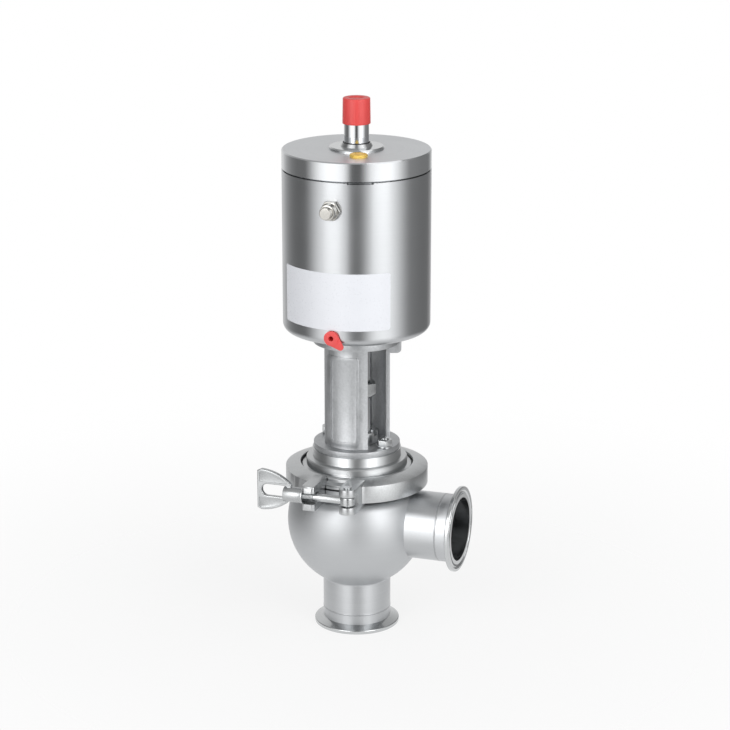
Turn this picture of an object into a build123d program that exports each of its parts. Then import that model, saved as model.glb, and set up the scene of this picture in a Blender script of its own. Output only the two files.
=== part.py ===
"""Pneumatic angle seat valve with a ball-shaped body and tri-clamp ports, DN50.

The bottom port's face lies in the plane z = 0 with its centre at the origin. The valve's axis is +Z
and the side port opens along +X. A direction round the axis is an azimuth: 0 is the front, along -Y,
and 90 is the side port's side, along +X.
"""

import os
from math import cos, radians, sin, sqrt, tan

from build123d import *

os.makedirs("parts", exist_ok=True)

# Fits and clearances
running_fit = 0.05
thread_fit = 0.05
seat_fit = 0.08
loose_fit = 0.3

# Tri-clamp ports of the body: 50.8 mm tube
port_tube_radius = 25.4
port_wall = 1.65
ferrule_radius = 32.0
ferrule_rim = 2.85
ferrule_length = 12.7
ferrule_groove_radius = 28.15
ferrule_groove_depth = 1.6
ferrule_slope = tan(radians(20))
side_reach = 81.5

# Ball body
ball_radius = 52.0
ball_wall = 3.0
ball_z = 82.7
ball_top_rise = 18.8
shoulder_rise = 6.6
weld_fillet = 1.6
seat_width = 3.25

# Clamped joint between body and bonnet: 76.1 mm tube
joint_rise = 35.9
joint_radius = 45.5
joint_rim = 2.85
joint_neck_inset = 7.45
joint_wall = 1.6
gasket_thickness = 1.6
gasket_bead_radius = 1.5
gasket_bead_inset = 3.8
gasket_setback = 0.5

# Bonnet
bonnet_hub_inset = 4.2
bonnet_hub_land = 2.7
bonnet_ring_inset = 3.7
bonnet_ring_height = 6.1
bonnet_top_inset = 4.6
bonnet_top_height = 6.9
bonnet_edge = 0.8
bonnet_spigot_depth = 9.0
bonnet_cone_depth = 3.5
bonnet_nose_radius = 19.0
bonnet_lip = 2.0
spigot_gap = 0.4

# Valve stem, its seal, bush and gland
stem_radius = 11.1
gland_pocket_radius = 14.0
stem_seal_height = 4.0
stem_bush_height = 14.0
gland_radius = 16.0
gland_height = 13.0
gland_edge = 1.0
gland_slot_width = 5.0
gland_slot_depth = 3.0

# Valve plug
plug_overlap = 4.45
plug_height = 13.0
plug_seal_height = 4.8
plug_seal_rise = 0.6
plug_rim = 2.4
seal_setback = 0.6
retainer_inset = 3.75
screw_radius = 5.0
screw_head_radius = 8.5
screw_head_height = 3.0
screw_grip = 15.0
socket_across_flats = 6.0
socket_depth = 2.4

# Yoke
yoke_turn = -8.0
yoke_radius = 24.95
yoke_wall = 3.0
yoke_front_span = 92.0
yoke_back_span = 108.0
yoke_flange_radius = 32.1
yoke_base_thickness = 4.5
yoke_height = 87.7
yoke_top_thickness = 6.0
frame_width = 27.8
frame_band = 3.8
frame_end_band = 2.5
frame_shift = 1.2
frame_height = 0.7
frame_bottom_rise = 7.5
frame_top_drop = 12.7
frame_corner = 3.0
lug_azimuth = 108.0
lug_reach = 33.0
lug_width = 8.8
lug_drop = 8.4
lug_corner = 3.4

# Studs that hold the yoke's base on the bonnet
stud_azimuth = 69.4
stud_circle_radius = 26.7
stud_radius = 3.0
stud_depth = 9.0
stud_tip = 1.6
stud_edge = 0.5
nut_across_flats = 10.0
nut_height = 5.0
nut_cone_angle = 60.0
washer_radius = 5.4
washer_thickness = 1.0

# Lock nut between valve stem and piston rod
stem_rise = 39.0
stem_edge = 0.6
lock_nut_across_flats = 26.0
lock_nut_height = 11.5
lock_nut_cone = 3.5
nut_cone = 1.2
rod_thread_radius = 8.0
rod_thread_depth = 17.0
rod_shoulder_gap = 1.6

# Actuator cylinder
cylinder_radius = 54.3
cylinder_wall = 3.3
cylinder_lift = 3.6
cylinder_floor = 12.0
cylinder_edge = 6.0
cylinder_height = 119.9
pilot_radius = 31.0
floor_screw_circle_radius = 20.0
floor_screw_radius = 3.0
floor_screw_head_radius = 5.0
floor_screw_head_height = 5.5
floor_screw_count = 4
floor_screw_grip = 5.0
rod_bush_step = 2.0
rod_seal_height = 4.5

# Air inlet in the floor and its dust plug
inlet_rise = 6.6
inlet_radius = 4.3
inlet_depth = 17.0
inlet_riser_radius = 2.5
inlet_face_radius = 6.2
inlet_face_depth = 0.45
inlet_plug_radius = 5.35
inlet_plug_flange = 2.6
inlet_plug_depth = 7.5
inlet_plug_bore_radius = 1.9
pull_tab_length = 9.1
pull_tab_end_radius = 2.3
pull_tab_angle = -41.7

# Upper port fitting
fitting_drop = 19.7
fitting_thread_radius = 4.6
fitting_hex_across_flats = 13.0
fitting_hex_height = 5.0
fitting_barrel_radius = 6.1
fitting_barrel_length = 5.0
fitting_head_radius = 4.4
fitting_head_length = 4.0
fitting_bore_radius = 2.0
fitting_face_depth = 0.7
fitting_face_radius = 7.8
fitting_taper = 6.0
fitting_edge = 0.6

# Top cover
seam_gap = 0.4
cover_thickness = 14.2
cover_edge = 0.8
cover_spigot_depth = 13.0
cover_recess_radius = 40.0
cover_recess_depth = 15.0
cover_vent_radius = 4.0
cover_ring_section = 1.5
cover_ring_drop = 8.2
wire_radius = 1.4
wire_drop = 2.4
wire_slot_start = 12.0
wire_slot_end = 32.0
wire_slot_height = 0.9
wire_arc = 345.0

# Rod guide, wiper, breather and cap on top
guide_disc_radius = 20.0
guide_disc_height = 2.0
guide_spigot_radius = 13.0
guide_spigot_depth = 12.0
guide_collar_radius = 11.8
guide_collar_height = 2.4
guide_collar_lip = 0.5
wiper_radius = 10.1
wiper_rise = 0.5
wiper_lip = 0.4
breather_azimuth = 22.0
breather_circle_radius = 31.0
breather_radius = 6.4
breather_height = 2.0
breather_spigot = 8.0
cap_rise = 16.2
cap_height = 18.8
cap_bottom_radius = 10.2
cap_top_radius = 9.9
cap_roof = 2.6
cap_dish_radius = 5.6
cap_dish_depth = 0.8
cap_edge = 0.9

# Piston, rod and spring
rod_radius = 9.1
piston_rise = 2.2
piston_height = 14.0
piston_gap = 0.25
piston_ring_height = 3.4
piston_ring_depth = 3.0
piston_seal_rise = 1.8
piston_guide_drop = 2.2
piston_nut_across_flats = 27.0
piston_nut_height = 8.0
piston_nut_cone = 1.0
spring_radius = 31.0
spring_wire_radius = 3.0
spring_turns = 6

# Clamp
clamp_reach = 7.6
clamp_overlap = 3.3
clamp_wall_half_height = 6.4
clamp_lip_half_height = 9.6
clamp_lip_land = 1.8
clamp_groove_gap = 0.7
clamp_front_gap = 9.0
clamp_back_gap = 0.5
ear_depth = 6.5
bolt_stand_off = 9.9
fork_half_height = 9.6
fork_gap = 4.0
slot_half_height = 4.2
ear_root_depth = 10.6
ear_bevel = 1.8
ear_corner = 2.5
left_ear_end = 18.6
pivot_x = 14.8
pivot_ear_radius = 6.2
pivot_ear_half_height = 9.4
hinge_stand_off = 5.9
hinge_radius = 5.4
tongue_taper = 1.0
hinge_gap = 0.4
tongue_half_height = 4.0
pin_radius = 2.2
pin_head_radius = 2.9
pin_head_height = 1.0

# Eye bolt and wing nut
bolt_radius = 3.0
bolt_end = 48.0
bolt_edge = 0.6
eye_radius = 5.4
eye_half_height = 3.4
nut_washer_radius = 5.8
nut_washer_thickness = 1.4
wing_hub_radius = 5.6
wing_hub_length = 13.5
wing_span = 31.3
wing_reach = 34.5
wing_rise = 1.8
wing_corner = 1.5
wing_thickness = 3.6
wing_slot_height = 8.9
wing_slot_margin = 3.6
wing_slot_setback = 2.0
wing_root = 8.0
wing_middle = 18.0
wing_middle_half = 12.6
wing_edge = 0.8
wing_rim = 1.6
wing_recess = 0.6

# Cutting tools run past the faces they cut by this much
overrun = 1.0
half_turn = 180.0

# Heights and radii worked out from the sizes above
port_bore_radius = port_tube_radius - port_wall
seat_radius = port_bore_radius + seat_width
plug_radius = port_bore_radius + plug_overlap
retainer_radius = port_bore_radius - retainer_inset
ball_bore_radius = ball_radius - ball_wall
ball_top_z = ball_z + ball_top_rise
joint_z = ball_z + joint_rise
joint_neck_radius = joint_radius - joint_neck_inset
joint_bore_radius = joint_neck_radius - joint_wall
gasket_bead_ring = joint_radius - gasket_bead_inset
body_face_z = joint_z - gasket_thickness / 2
bonnet_face_z = joint_z + gasket_thickness / 2
bonnet_rim_z = bonnet_face_z + joint_rim
bonnet_hub_radius = joint_radius - bonnet_hub_inset
bonnet_ring_radius = bonnet_hub_radius - bonnet_ring_inset
bonnet_top_radius = bonnet_ring_radius - bonnet_top_inset
hub_cone_z = bonnet_rim_z + bonnet_hub_inset * ferrule_slope
bonnet_hub_z = hub_cone_z + bonnet_hub_land
bonnet_ring_z = bonnet_hub_z + bonnet_ring_height
bonnet_top_z = bonnet_ring_z + bonnet_top_height
gland_top_z = bonnet_top_z + gland_height
seat_top_z = ball_z - sqrt(ball_bore_radius**2 - seat_radius**2)
seat_z = seat_top_z - (seat_radius - port_bore_radius)
nose_z = bonnet_face_z - bonnet_spigot_depth - bonnet_cone_depth
stem_bore_radius = stem_radius + running_fit
stem_top_z = bonnet_top_z + stem_rise
plug_seal_z = seat_z + plug_seal_rise
plug_z = plug_seal_z + plug_seal_height
plug_top_z = plug_z + plug_height
yoke_base_z = bonnet_top_z + yoke_base_thickness
yoke_top_z = bonnet_top_z + yoke_height
yoke_flange_z = yoke_top_z - yoke_top_thickness
yoke_bore_radius = yoke_radius - yoke_wall
frame_bottom_z = bonnet_top_z + frame_bottom_rise
frame_top_z = yoke_top_z - frame_top_drop
rod_shoulder_z = stem_top_z + lock_nut_height + rod_shoulder_gap
cylinder_bottom_z = yoke_top_z + cylinder_lift
cylinder_rim_z = cylinder_bottom_z + cylinder_height
cylinder_bore_radius = cylinder_radius - cylinder_wall
floor_z = cylinder_bottom_z + cylinder_floor
rod_bush_z = yoke_top_z + rod_bush_step
rod_seal_top_z = floor_z - loose_fit
rod_seal_z = rod_seal_top_z - rod_seal_height
inlet_z = cylinder_bottom_z + inlet_rise
fitting_z = cylinder_rim_z - fitting_drop
cover_z = cylinder_rim_z + seam_gap
cover_top_z = cover_z + cover_thickness
spigot_z = cover_z - cover_spigot_depth
spring_top_z = spigot_z + cover_recess_depth
wire_z = cylinder_rim_z - wire_drop
piston_z = floor_z + piston_rise
piston_top_z = piston_z + piston_height
piston_seal_z = piston_z + piston_seal_rise
piston_guide_z = piston_top_z - piston_guide_drop - piston_ring_height
guide_top_z = cover_top_z + guide_disc_height
collar_top_z = guide_top_z + guide_collar_height
wiper_top_z = collar_top_z + wiper_rise
cap_bottom_z = guide_top_z + cap_rise
cap_top_z = cap_bottom_z + cap_height
rod_top_z = cap_top_z - cap_roof - loose_fit
clamp_radius = joint_radius + clamp_reach
clamp_lip_radius = joint_radius - clamp_overlap
bolt_y = -clamp_radius - bolt_stand_off
ear_root_y = -clamp_radius + ear_root_depth
hinge_y = clamp_radius + hinge_stand_off
nut_seat_x = -left_ear_end - loose_fit


def turn(*corners, mode=Mode.ADD):
    """Turn a closed outline of (radius, height) corners about the valve's axis."""
    with BuildSketch(Plane.XZ) as outline:
        with BuildLine():
            Polyline(*corners, close=True)
        make_face()
    return revolve(outline.sketch, axis=Axis.Z, mode=mode)


def tube(inner_radius, outer_radius, low_z, high_z):
    """A plain ring round the valve's axis."""
    return turn(
        (inner_radius, low_z),
        (outer_radius, low_z),
        (outer_radius, high_z),
        (inner_radius, high_z),
    )


def round_groove(ring_radius, z, section_radius, mode=Mode.SUBTRACT):
    """A ring of round section about the valve's axis."""
    with BuildSketch(Plane.XZ) as section:
        with Locations((ring_radius, z)):
            Circle(section_radius)
    return revolve(section.sketch, axis=Axis.Z, mode=mode)


def around(azimuth, radius, z=0.0):
    """The point at an azimuth and radius round the valve's axis."""
    return (radius * sin(radians(azimuth)), -radius * cos(radians(azimuth)), z)


def facing(azimuth, radius, z):
    """A plane that looks outwards from the valve's axis, its own y upwards."""
    outwards = around(azimuth, 1.0)
    return Plane(origin=around(azimuth, radius, z), x_dir=(-outwards[1], outwards[0], 0), z_dir=outwards)


def upright_section(azimuth):
    """The plane that holds the valve's axis and an azimuth, its own x outwards."""
    outwards = around(azimuth, 1.0)
    return Plane((0, 0, 0), x_dir=outwards, z_dir=Vector(*outwards).cross(Vector(0, 0, 1)))


def stud_places(z):
    """Where the two studs stand, at a height."""
    return [around(stud_azimuth + turned, stud_circle_radius, z) for turned in (0, half_turn)]


def save(piece, name):
    """Label a finished piece and write it."""
    piece.part.label = name
    export_step(piece.part, f"parts/{name}.step")


# Body: ball shell with neck, seat, bottom tube and side tube
outer_drop = sqrt(ball_radius**2 - port_tube_radius**2)
outer_top_radius = sqrt(ball_radius**2 - (ball_top_z - ball_z) ** 2)
inner_top_z = ball_top_z - ball_wall
inner_top_radius = sqrt(ball_bore_radius**2 - (inner_top_z - ball_z) ** 2)
shoulder_z = ball_top_z + shoulder_rise
inner_shoulder_z = inner_top_z + shoulder_rise
body_rim_z = body_face_z - joint_rim
neck_cone_z = body_rim_z - (joint_radius - joint_neck_radius) * ferrule_slope


def shoulder_middle(neck_radius, top_radius, z):
    """The middle point of the round shoulder between the ball and its neck."""
    return (neck_radius + 0.7 * (top_radius - neck_radius), z + 0.7 * shoulder_rise)


with BuildPart() as body_shell:
    with BuildSketch(Plane.XZ):
        with BuildLine():
            Polyline(
                (seat_radius, seat_top_z),
                (port_bore_radius, seat_z),
                (port_bore_radius, ferrule_length),
                (port_tube_radius, ferrule_length),
                (port_tube_radius, ball_z - outer_drop),
            )
            ThreePointArc(
                (port_tube_radius, ball_z - outer_drop),
                (ball_radius, ball_z),
                (outer_top_radius, ball_top_z),
            )
            ThreePointArc(
                (outer_top_radius, ball_top_z),
                shoulder_middle(joint_neck_radius, outer_top_radius, ball_top_z),
                (joint_neck_radius, shoulder_z),
            )
            Polyline(
                (joint_neck_radius, shoulder_z),
                (joint_neck_radius, neck_cone_z),
                (joint_radius, body_rim_z),
                (joint_radius, body_face_z),
                (joint_bore_radius, body_face_z),
                (joint_bore_radius, inner_shoulder_z),
            )
            ThreePointArc(
                (joint_bore_radius, inner_shoulder_z),
                shoulder_middle(joint_bore_radius, inner_top_radius, inner_top_z),
                (inner_top_radius, inner_top_z),
            )
            ThreePointArc(
                (inner_top_radius, inner_top_z),
                (ball_bore_radius, ball_z),
                (seat_radius, seat_top_z),
            )
        make_face()
    revolve(axis=Axis.Z)
    side_start = sqrt(ball_bore_radius**2 - port_bore_radius**2) + ball_wall / 4
    with BuildSketch(Plane.YZ.offset(side_start)):
        with Locations((0, ball_z)):
            Circle(port_tube_radius)
    extrude(amount=side_reach - ferrule_length - side_start)
    with BuildSketch(Plane.YZ.offset(port_bore_radius)):
        with Locations((0, ball_z)):
            Circle(port_bore_radius)
    extrude(amount=side_reach - port_bore_radius, mode=Mode.SUBTRACT)
    weld_lines = (
        body_shell.edges()
        .filter_by(GeomType.CIRCLE)
        .filter_by(lambda edge: abs(edge.radius - port_tube_radius) < 0.01)
        .filter_by(lambda edge: abs((edge.arc_center - Vector(0, 0, ball_z)).length - outer_drop) < 0.01)
    )
    fillet(weld_lines, weld_fillet)
    round_groove(gasket_bead_ring, body_face_z, gasket_bead_radius + running_fit)
save(body_shell, "body_shell")


def ferrule(face_centre, inward, radial):
    """A welding ferrule from its clamp face to the end of its short tube."""
    cone_end = ferrule_rim + (ferrule_radius - port_tube_radius) * ferrule_slope
    section = Plane(origin=face_centre, x_dir=radial, z_dir=Vector(*radial).cross(Vector(*inward)))
    with BuildPart() as piece:
        with BuildSketch(section):
            with BuildLine():
                Polyline(
                    (port_bore_radius, 0),
                    (ferrule_radius, 0),
                    (ferrule_radius, ferrule_rim),
                    (port_tube_radius, cone_end),
                    (port_tube_radius, ferrule_length),
                    (port_bore_radius, ferrule_length),
                    close=True,
                )
            make_face()
            with Locations((ferrule_groove_radius, 0)):
                Circle(ferrule_groove_depth, mode=Mode.SUBTRACT)
        revolve(axis=Axis(face_centre, inward))
        rim_edges = (
            piece.edges()
            .filter_by(GeomType.CIRCLE)
            .filter_by(lambda edge: abs(edge.radius - ferrule_radius) < 0.01)
        )
        fillet(rim_edges, ferrule_rim / 4)
    return piece


# Ferrules of the two ports
save(ferrule((0, 0, 0), (0, 0, 1), (1, 0, 0)), "bottom_ferrule")
save(ferrule((side_reach, 0, ball_z), (-1, 0, 0), (0, 1, 0)), "side_ferrule")

# Gasket of the clamped joint
with BuildPart() as body_gasket:
    tube(joint_bore_radius, joint_radius - gasket_setback, body_face_z, bonnet_face_z)
    round_groove(gasket_bead_ring, joint_z, gasket_bead_radius, mode=Mode.ADD)
save(body_gasket, "body_gasket")

# Bonnet with its three turned steps, spigot and stem bore
stem_seal_z = nose_z + bonnet_lip
stem_bush_z = stem_seal_z + stem_seal_height
gland_thread_z = stem_bush_z + stem_bush_height
with BuildPart() as bonnet:
    turn(
        (stem_bore_radius, nose_z),
        (bonnet_nose_radius, nose_z),
        (joint_bore_radius - spigot_gap, nose_z + bonnet_cone_depth),
        (joint_bore_radius - spigot_gap, bonnet_face_z),
        (joint_radius, bonnet_face_z),
        (joint_radius, bonnet_rim_z),
        (bonnet_hub_radius, hub_cone_z),
        (bonnet_hub_radius, bonnet_hub_z),
        (bonnet_ring_radius, bonnet_hub_z),
        (bonnet_ring_radius, bonnet_ring_z),
        (bonnet_top_radius, bonnet_ring_z),
        (bonnet_top_radius, bonnet_top_z),
        (gland_pocket_radius, bonnet_top_z),
        (gland_pocket_radius, stem_seal_z),
        (stem_bore_radius, stem_seal_z),
    )
    chamfer(
        bonnet.edges()
        .filter_by(GeomType.CIRCLE)
        .filter_by(
            lambda edge: abs(edge.radius - bonnet_ring_radius) < 0.01
            and abs(edge.arc_center.Z - bonnet_ring_z) < 0.01
            or abs(edge.radius - bonnet_hub_radius) < 0.01
            and abs(edge.arc_center.Z - bonnet_hub_z) < 0.01
        ),
        bonnet_edge,
    )
    round_groove(gasket_bead_ring, bonnet_face_z, gasket_bead_radius + running_fit)
    with Locations(*stud_places(bonnet_top_z)):
        Hole(stud_radius + thread_fit, depth=stud_depth)
save(bonnet, "bonnet")

# Stem seal, stem bush and gland nut in the bonnet
with BuildPart() as stem_seal:
    tube(stem_bore_radius, gland_pocket_radius, stem_seal_z, stem_bush_z)
save(stem_seal, "stem_seal")

with BuildPart() as stem_bush:
    tube(stem_bore_radius, gland_pocket_radius, stem_bush_z, gland_thread_z)
save(stem_bush, "stem_bush")

with BuildPart() as gland_nut:
    tube(stem_bore_radius, gland_pocket_radius - thread_fit, gland_thread_z, bonnet_top_z)
    tube(stem_bore_radius, gland_radius, bonnet_top_z, gland_top_z)
    chamfer(gland_nut.edges().group_by(Axis.Z)[-1].sort_by(SortBy.RADIUS)[-1], gland_edge)
    with BuildSketch(Plane.XY.offset(gland_top_z)):
        Rectangle(3 * gland_radius, gland_slot_width, rotation=yoke_turn)
        Rectangle(gland_slot_width, 3 * gland_radius, rotation=yoke_turn)
    extrude(amount=-gland_slot_depth, mode=Mode.SUBTRACT)
save(gland_nut, "gland_nut")

# Valve plug: soft seal clamped by a retainer disc and a screw from below
seal_low_radius = port_bore_radius + (plug_seal_z - seat_z) - seat_fit * sqrt(2)
seal_outer_radius = plug_radius - seal_setback
seal_cone_z = plug_seal_z + seal_outer_radius - seal_low_radius
screw_bore_radius = screw_radius + thread_fit
with BuildPart() as plug_seal:
    turn(
        (retainer_radius + thread_fit, plug_seal_z),
        (seal_low_radius, plug_seal_z),
        (seal_outer_radius, seal_cone_z),
        (seal_outer_radius, plug_z),
        (retainer_radius + thread_fit, plug_z),
    )
save(plug_seal, "plug_seal")

with BuildPart() as seal_retainer:
    turn(
        (screw_head_radius + thread_fit, plug_seal_z),
        (retainer_radius, plug_seal_z),
        (retainer_radius, plug_z),
        (screw_bore_radius, plug_z),
        (screw_bore_radius, plug_seal_z + screw_head_height),
        (screw_head_radius + thread_fit, plug_seal_z + screw_head_height),
    )
save(seal_retainer, "seal_retainer")

with BuildPart() as retainer_screw:
    turn(
        (0, plug_seal_z),
        (screw_head_radius, plug_seal_z),
        (screw_head_radius, plug_seal_z + screw_head_height),
        (screw_radius, plug_seal_z + screw_head_height),
        (screw_radius, plug_top_z + screw_grip),
        (0, plug_top_z + screw_grip),
    )
    with BuildSketch(Plane.XY.offset(plug_seal_z)):
        RegularPolygon(socket_across_flats / 2, 6, major_radius=False)
    extrude(amount=socket_depth, mode=Mode.SUBTRACT)
save(retainer_screw, "retainer_screw")

with BuildPart() as valve_plug:
    turn(
        (screw_bore_radius, plug_z),
        (plug_radius, plug_z),
        (plug_radius, plug_z + plug_rim),
        (plug_radius - plug_rim, plug_z + 2 * plug_rim),
        (stem_radius + plug_rim, plug_top_z - plug_rim / 2),
        (stem_radius, plug_top_z),
        (screw_bore_radius, plug_top_z),
    )
save(valve_plug, "valve_plug")

with BuildPart() as valve_stem:
    tube(0, stem_radius, plug_top_z, stem_top_z)
    chamfer(valve_stem.edges().group_by(Axis.Z)[-1], stem_edge)
    with Locations((0, 0, plug_top_z)):
        Cylinder(
            screw_bore_radius,
            screw_grip + loose_fit,
            align=(Align.CENTER, Align.CENTER, Align.MIN),
            mode=Mode.SUBTRACT,
        )
    with Locations((0, 0, stem_top_z)):
        Cylinder(
            rod_thread_radius + thread_fit,
            rod_thread_depth + loose_fit,
            align=(Align.CENTER, Align.CENTER, Align.MAX),
            mode=Mode.SUBTRACT,
        )
save(valve_stem, "valve_stem")


def hexagon_nut(across_flats, bore_radius, low_z, high_z, low_cone, high_cone):
    """A hexagon nut about the valve's axis, its corners coned off at both ends."""
    flat_radius = across_flats / 2
    corner_radius = flat_radius / cos(radians(30))
    with BuildSketch(Plane.XY.offset(low_z)) as outline:
        RegularPolygon(flat_radius, 6, major_radius=False)
        Circle(bore_radius, mode=Mode.SUBTRACT)
    extrude(outline.sketch, amount=high_z - low_z)
    turn(
        (0, low_z),
        (flat_radius - low_cone / 2, low_z),
        (corner_radius, low_z + low_cone),
        (corner_radius, high_z - high_cone),
        (flat_radius - high_cone / 2, high_z),
        (0, high_z),
        mode=Mode.INTERSECT,
    )


# Lock nut between stem and piston rod
with BuildPart() as lock_nut:
    hexagon_nut(
        lock_nut_across_flats,
        rod_thread_radius + thread_fit,
        stem_top_z,
        stem_top_z + lock_nut_height,
        lock_nut_cone,
        nut_cone,
    )
save(lock_nut, "lock_nut")


def yoke_wall_part(first_azimuth, span):
    """One of the yoke's two curved walls."""
    with BuildSketch(upright_section(first_azimuth)) as section:
        with Locations(((yoke_radius + yoke_bore_radius) / 2, (yoke_base_z + yoke_flange_z) / 2)):
            Rectangle(yoke_wall, yoke_flange_z - yoke_base_z)
    revolve(section.sketch, axis=Axis.Z, revolution_arc=span)


# Yoke: cast lantern with two windows, a raised frame on its front wall and a flange at each end
screw_start = yoke_turn - half_turn / floor_screw_count
frame_z = (frame_bottom_z + frame_top_z) / 2
frame_length = frame_top_z - frame_bottom_z
lug_z = yoke_flange_z - lug_drop
lug_root = yoke_radius - yoke_wall / 2
with BuildPart() as yoke_frame:
    with BuildSketch(facing(yoke_turn, yoke_bore_radius, frame_z)):
        RectangleRounded(frame_width, frame_length, frame_corner)
        with Locations((frame_shift, 0)):
            RectangleRounded(
                frame_width - 2 * frame_band,
                frame_length - 2 * frame_end_band,
                frame_corner,
                mode=Mode.SUBTRACT,
            )
    extrude(amount=yoke_wall + 3 * frame_height)
    turn(
        (yoke_radius - frame_height, frame_bottom_z - overrun),
        (yoke_radius + frame_height, frame_bottom_z - overrun),
        (yoke_radius + frame_height, frame_top_z + overrun),
        (yoke_radius - frame_height, frame_top_z + overrun),
        mode=Mode.INTERSECT,
    )

with BuildPart() as yoke:
    tube(gland_radius + spigot_gap, yoke_flange_radius, bonnet_top_z, yoke_base_z)
    tube(stem_radius + spigot_gap, yoke_flange_radius, yoke_flange_z, yoke_top_z)
    yoke_wall_part(yoke_turn - yoke_front_span / 2, yoke_front_span)
    yoke_wall_part(yoke_turn + half_turn - yoke_back_span / 2, yoke_back_span)
    add(yoke_frame.part)
    with BuildSketch(upright_section(lug_azimuth)):
        with BuildLine():
            Polyline((lug_root, lug_z), (lug_root, yoke_flange_z), (lug_reach, yoke_flange_z))
            FilletPolyline(
                (lug_reach, yoke_flange_z), (lug_reach, lug_z), (lug_root, lug_z), radius=lug_corner
            )
        make_face()
    extrude(amount=lug_width / 2, both=True)
    with Locations(*stud_places(yoke_base_z)):
        Hole(stud_radius + spigot_gap, depth=yoke_base_thickness)
    with BuildSketch(Plane.XY.offset(yoke_top_z)):
        with PolarLocations(floor_screw_circle_radius, floor_screw_count, start_angle=screw_start):
            Circle(floor_screw_radius + thread_fit)
    extrude(amount=-floor_screw_grip, mode=Mode.SUBTRACT)
save(yoke, "yoke")

# Studs, washers and nuts at the yoke's base
washer_top_z = yoke_base_z + washer_thickness
nut_top_z = washer_top_z + nut_height
with BuildPart() as yoke_studs:
    with BuildSketch(Plane.XY.offset(bonnet_top_z - stud_depth)):
        with Locations(*stud_places(0)):
            Circle(stud_radius)
    extrude(amount=nut_top_z + stud_tip - bonnet_top_z + stud_depth)
    chamfer(yoke_studs.edges().group_by(Axis.Z)[-1], stud_edge)
save(yoke_studs, "yoke_studs")

with BuildPart() as yoke_washers:
    with BuildSketch(Plane.XY.offset(yoke_base_z)):
        with Locations(*stud_places(0)):
            Circle(washer_radius)
            Circle(stud_radius + thread_fit, mode=Mode.SUBTRACT)
    extrude(amount=washer_thickness)
save(yoke_washers, "yoke_washers")

with BuildPart() as yoke_nuts:
    with BuildSketch(Plane.XY.offset(washer_top_z)):
        with Locations(*stud_places(0)):
            RegularPolygon(nut_across_flats / 2, 6, major_radius=False)
            Circle(stud_radius + thread_fit, mode=Mode.SUBTRACT)
    extrude(amount=nut_height)
    with BuildSketch(Plane.XY.offset(nut_top_z)):
        with Locations(*stud_places(0)):
            Circle(nut_across_flats / 2)
    extrude(amount=-nut_height, taper=-nut_cone_angle, mode=Mode.INTERSECT)
save(yoke_nuts, "yoke_nuts")

# Actuator cylinder: cup with a thick floor, air inlet, fitting hole and wire slot
riser_y = -(cylinder_radius - inlet_depth + inlet_riser_radius)
with BuildPart() as actuator_cylinder:
    turn(
        (stem_bore_radius + spigot_gap, yoke_top_z),
        (pilot_radius, yoke_top_z),
        (pilot_radius, cylinder_bottom_z),
        (cylinder_radius, cylinder_bottom_z),
        (cylinder_radius, cylinder_rim_z),
        (cylinder_bore_radius, cylinder_rim_z),
        (cylinder_bore_radius, floor_z),
        (gland_pocket_radius, floor_z),
        (gland_pocket_radius, rod_bush_z),
        (stem_bore_radius + spigot_gap, rod_bush_z),
    )
    fillet(
        actuator_cylinder.edges()
        .filter_by(GeomType.CIRCLE)
        .filter_by(lambda edge: abs(edge.radius - cylinder_radius) < 0.01)
        .sort_by(Axis.Z)[0],
        cylinder_edge,
    )
    with BuildSketch(facing(0, cylinder_radius - inlet_face_depth, inlet_z)):
        Circle(inlet_face_radius)
    extrude(amount=inlet_face_radius, mode=Mode.SUBTRACT)
    with BuildSketch(facing(0, cylinder_radius - inlet_depth, inlet_z)):
        Circle(inlet_radius)
    extrude(amount=inlet_depth, mode=Mode.SUBTRACT)
    with BuildSketch(Plane.XY.offset(inlet_z)):
        with Locations((0, riser_y)):
            Circle(inlet_riser_radius)
    extrude(amount=floor_z - inlet_z, mode=Mode.SUBTRACT)
    with BuildSketch(facing(0, cylinder_radius - fitting_face_depth, fitting_z)):
        Circle(fitting_face_radius)
    extrude(amount=fitting_hex_height, mode=Mode.SUBTRACT)
    with BuildSketch(facing(0, cylinder_bore_radius - cylinder_wall, fitting_z)):
        Circle(fitting_thread_radius + thread_fit)
    extrude(amount=2 * cylinder_wall, mode=Mode.SUBTRACT)
    with BuildSketch(Plane.XY.offset(floor_z)):
        with PolarLocations(floor_screw_circle_radius, floor_screw_count, start_angle=screw_start):
            Circle(floor_screw_radius + spigot_gap)
    extrude(amount=yoke_top_z - floor_z, mode=Mode.SUBTRACT)
    with BuildSketch(Plane.XY.offset(floor_z)):
        with PolarLocations(floor_screw_circle_radius, floor_screw_count, start_angle=screw_start):
            Circle(floor_screw_head_radius + spigot_gap)
    extrude(amount=-floor_screw_head_height - spigot_gap, mode=Mode.SUBTRACT)
    with BuildSketch(upright_section(wire_slot_start)):
        with Locations((cylinder_radius - cylinder_wall / 2, cylinder_rim_z)):
            Rectangle(2 * cylinder_wall, 2 * wire_slot_height)
    revolve(axis=Axis.Z, revolution_arc=wire_slot_end - wire_slot_start, mode=Mode.SUBTRACT)
    round_groove(cylinder_bore_radius, wire_z, wire_radius + loose_fit)
save(actuator_cylinder, "actuator_cylinder")

screw_low_z = yoke_top_z - floor_screw_grip + loose_fit
screw_head_z = floor_z - floor_screw_head_height - spigot_gap
with BuildPart() as cylinder_screws:
    with BuildSketch(Plane.XY.offset(screw_low_z)):
        with PolarLocations(floor_screw_circle_radius, floor_screw_count, start_angle=screw_start):
            Circle(floor_screw_radius)
    extrude(amount=screw_head_z - screw_low_z)
    with BuildSketch(Plane.XY.offset(screw_head_z)):
        with PolarLocations(floor_screw_circle_radius, floor_screw_count, start_angle=screw_start):
            Circle(floor_screw_head_radius)
    extrude(amount=floor_screw_head_height)
save(cylinder_screws, "cylinder_screws")

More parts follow.
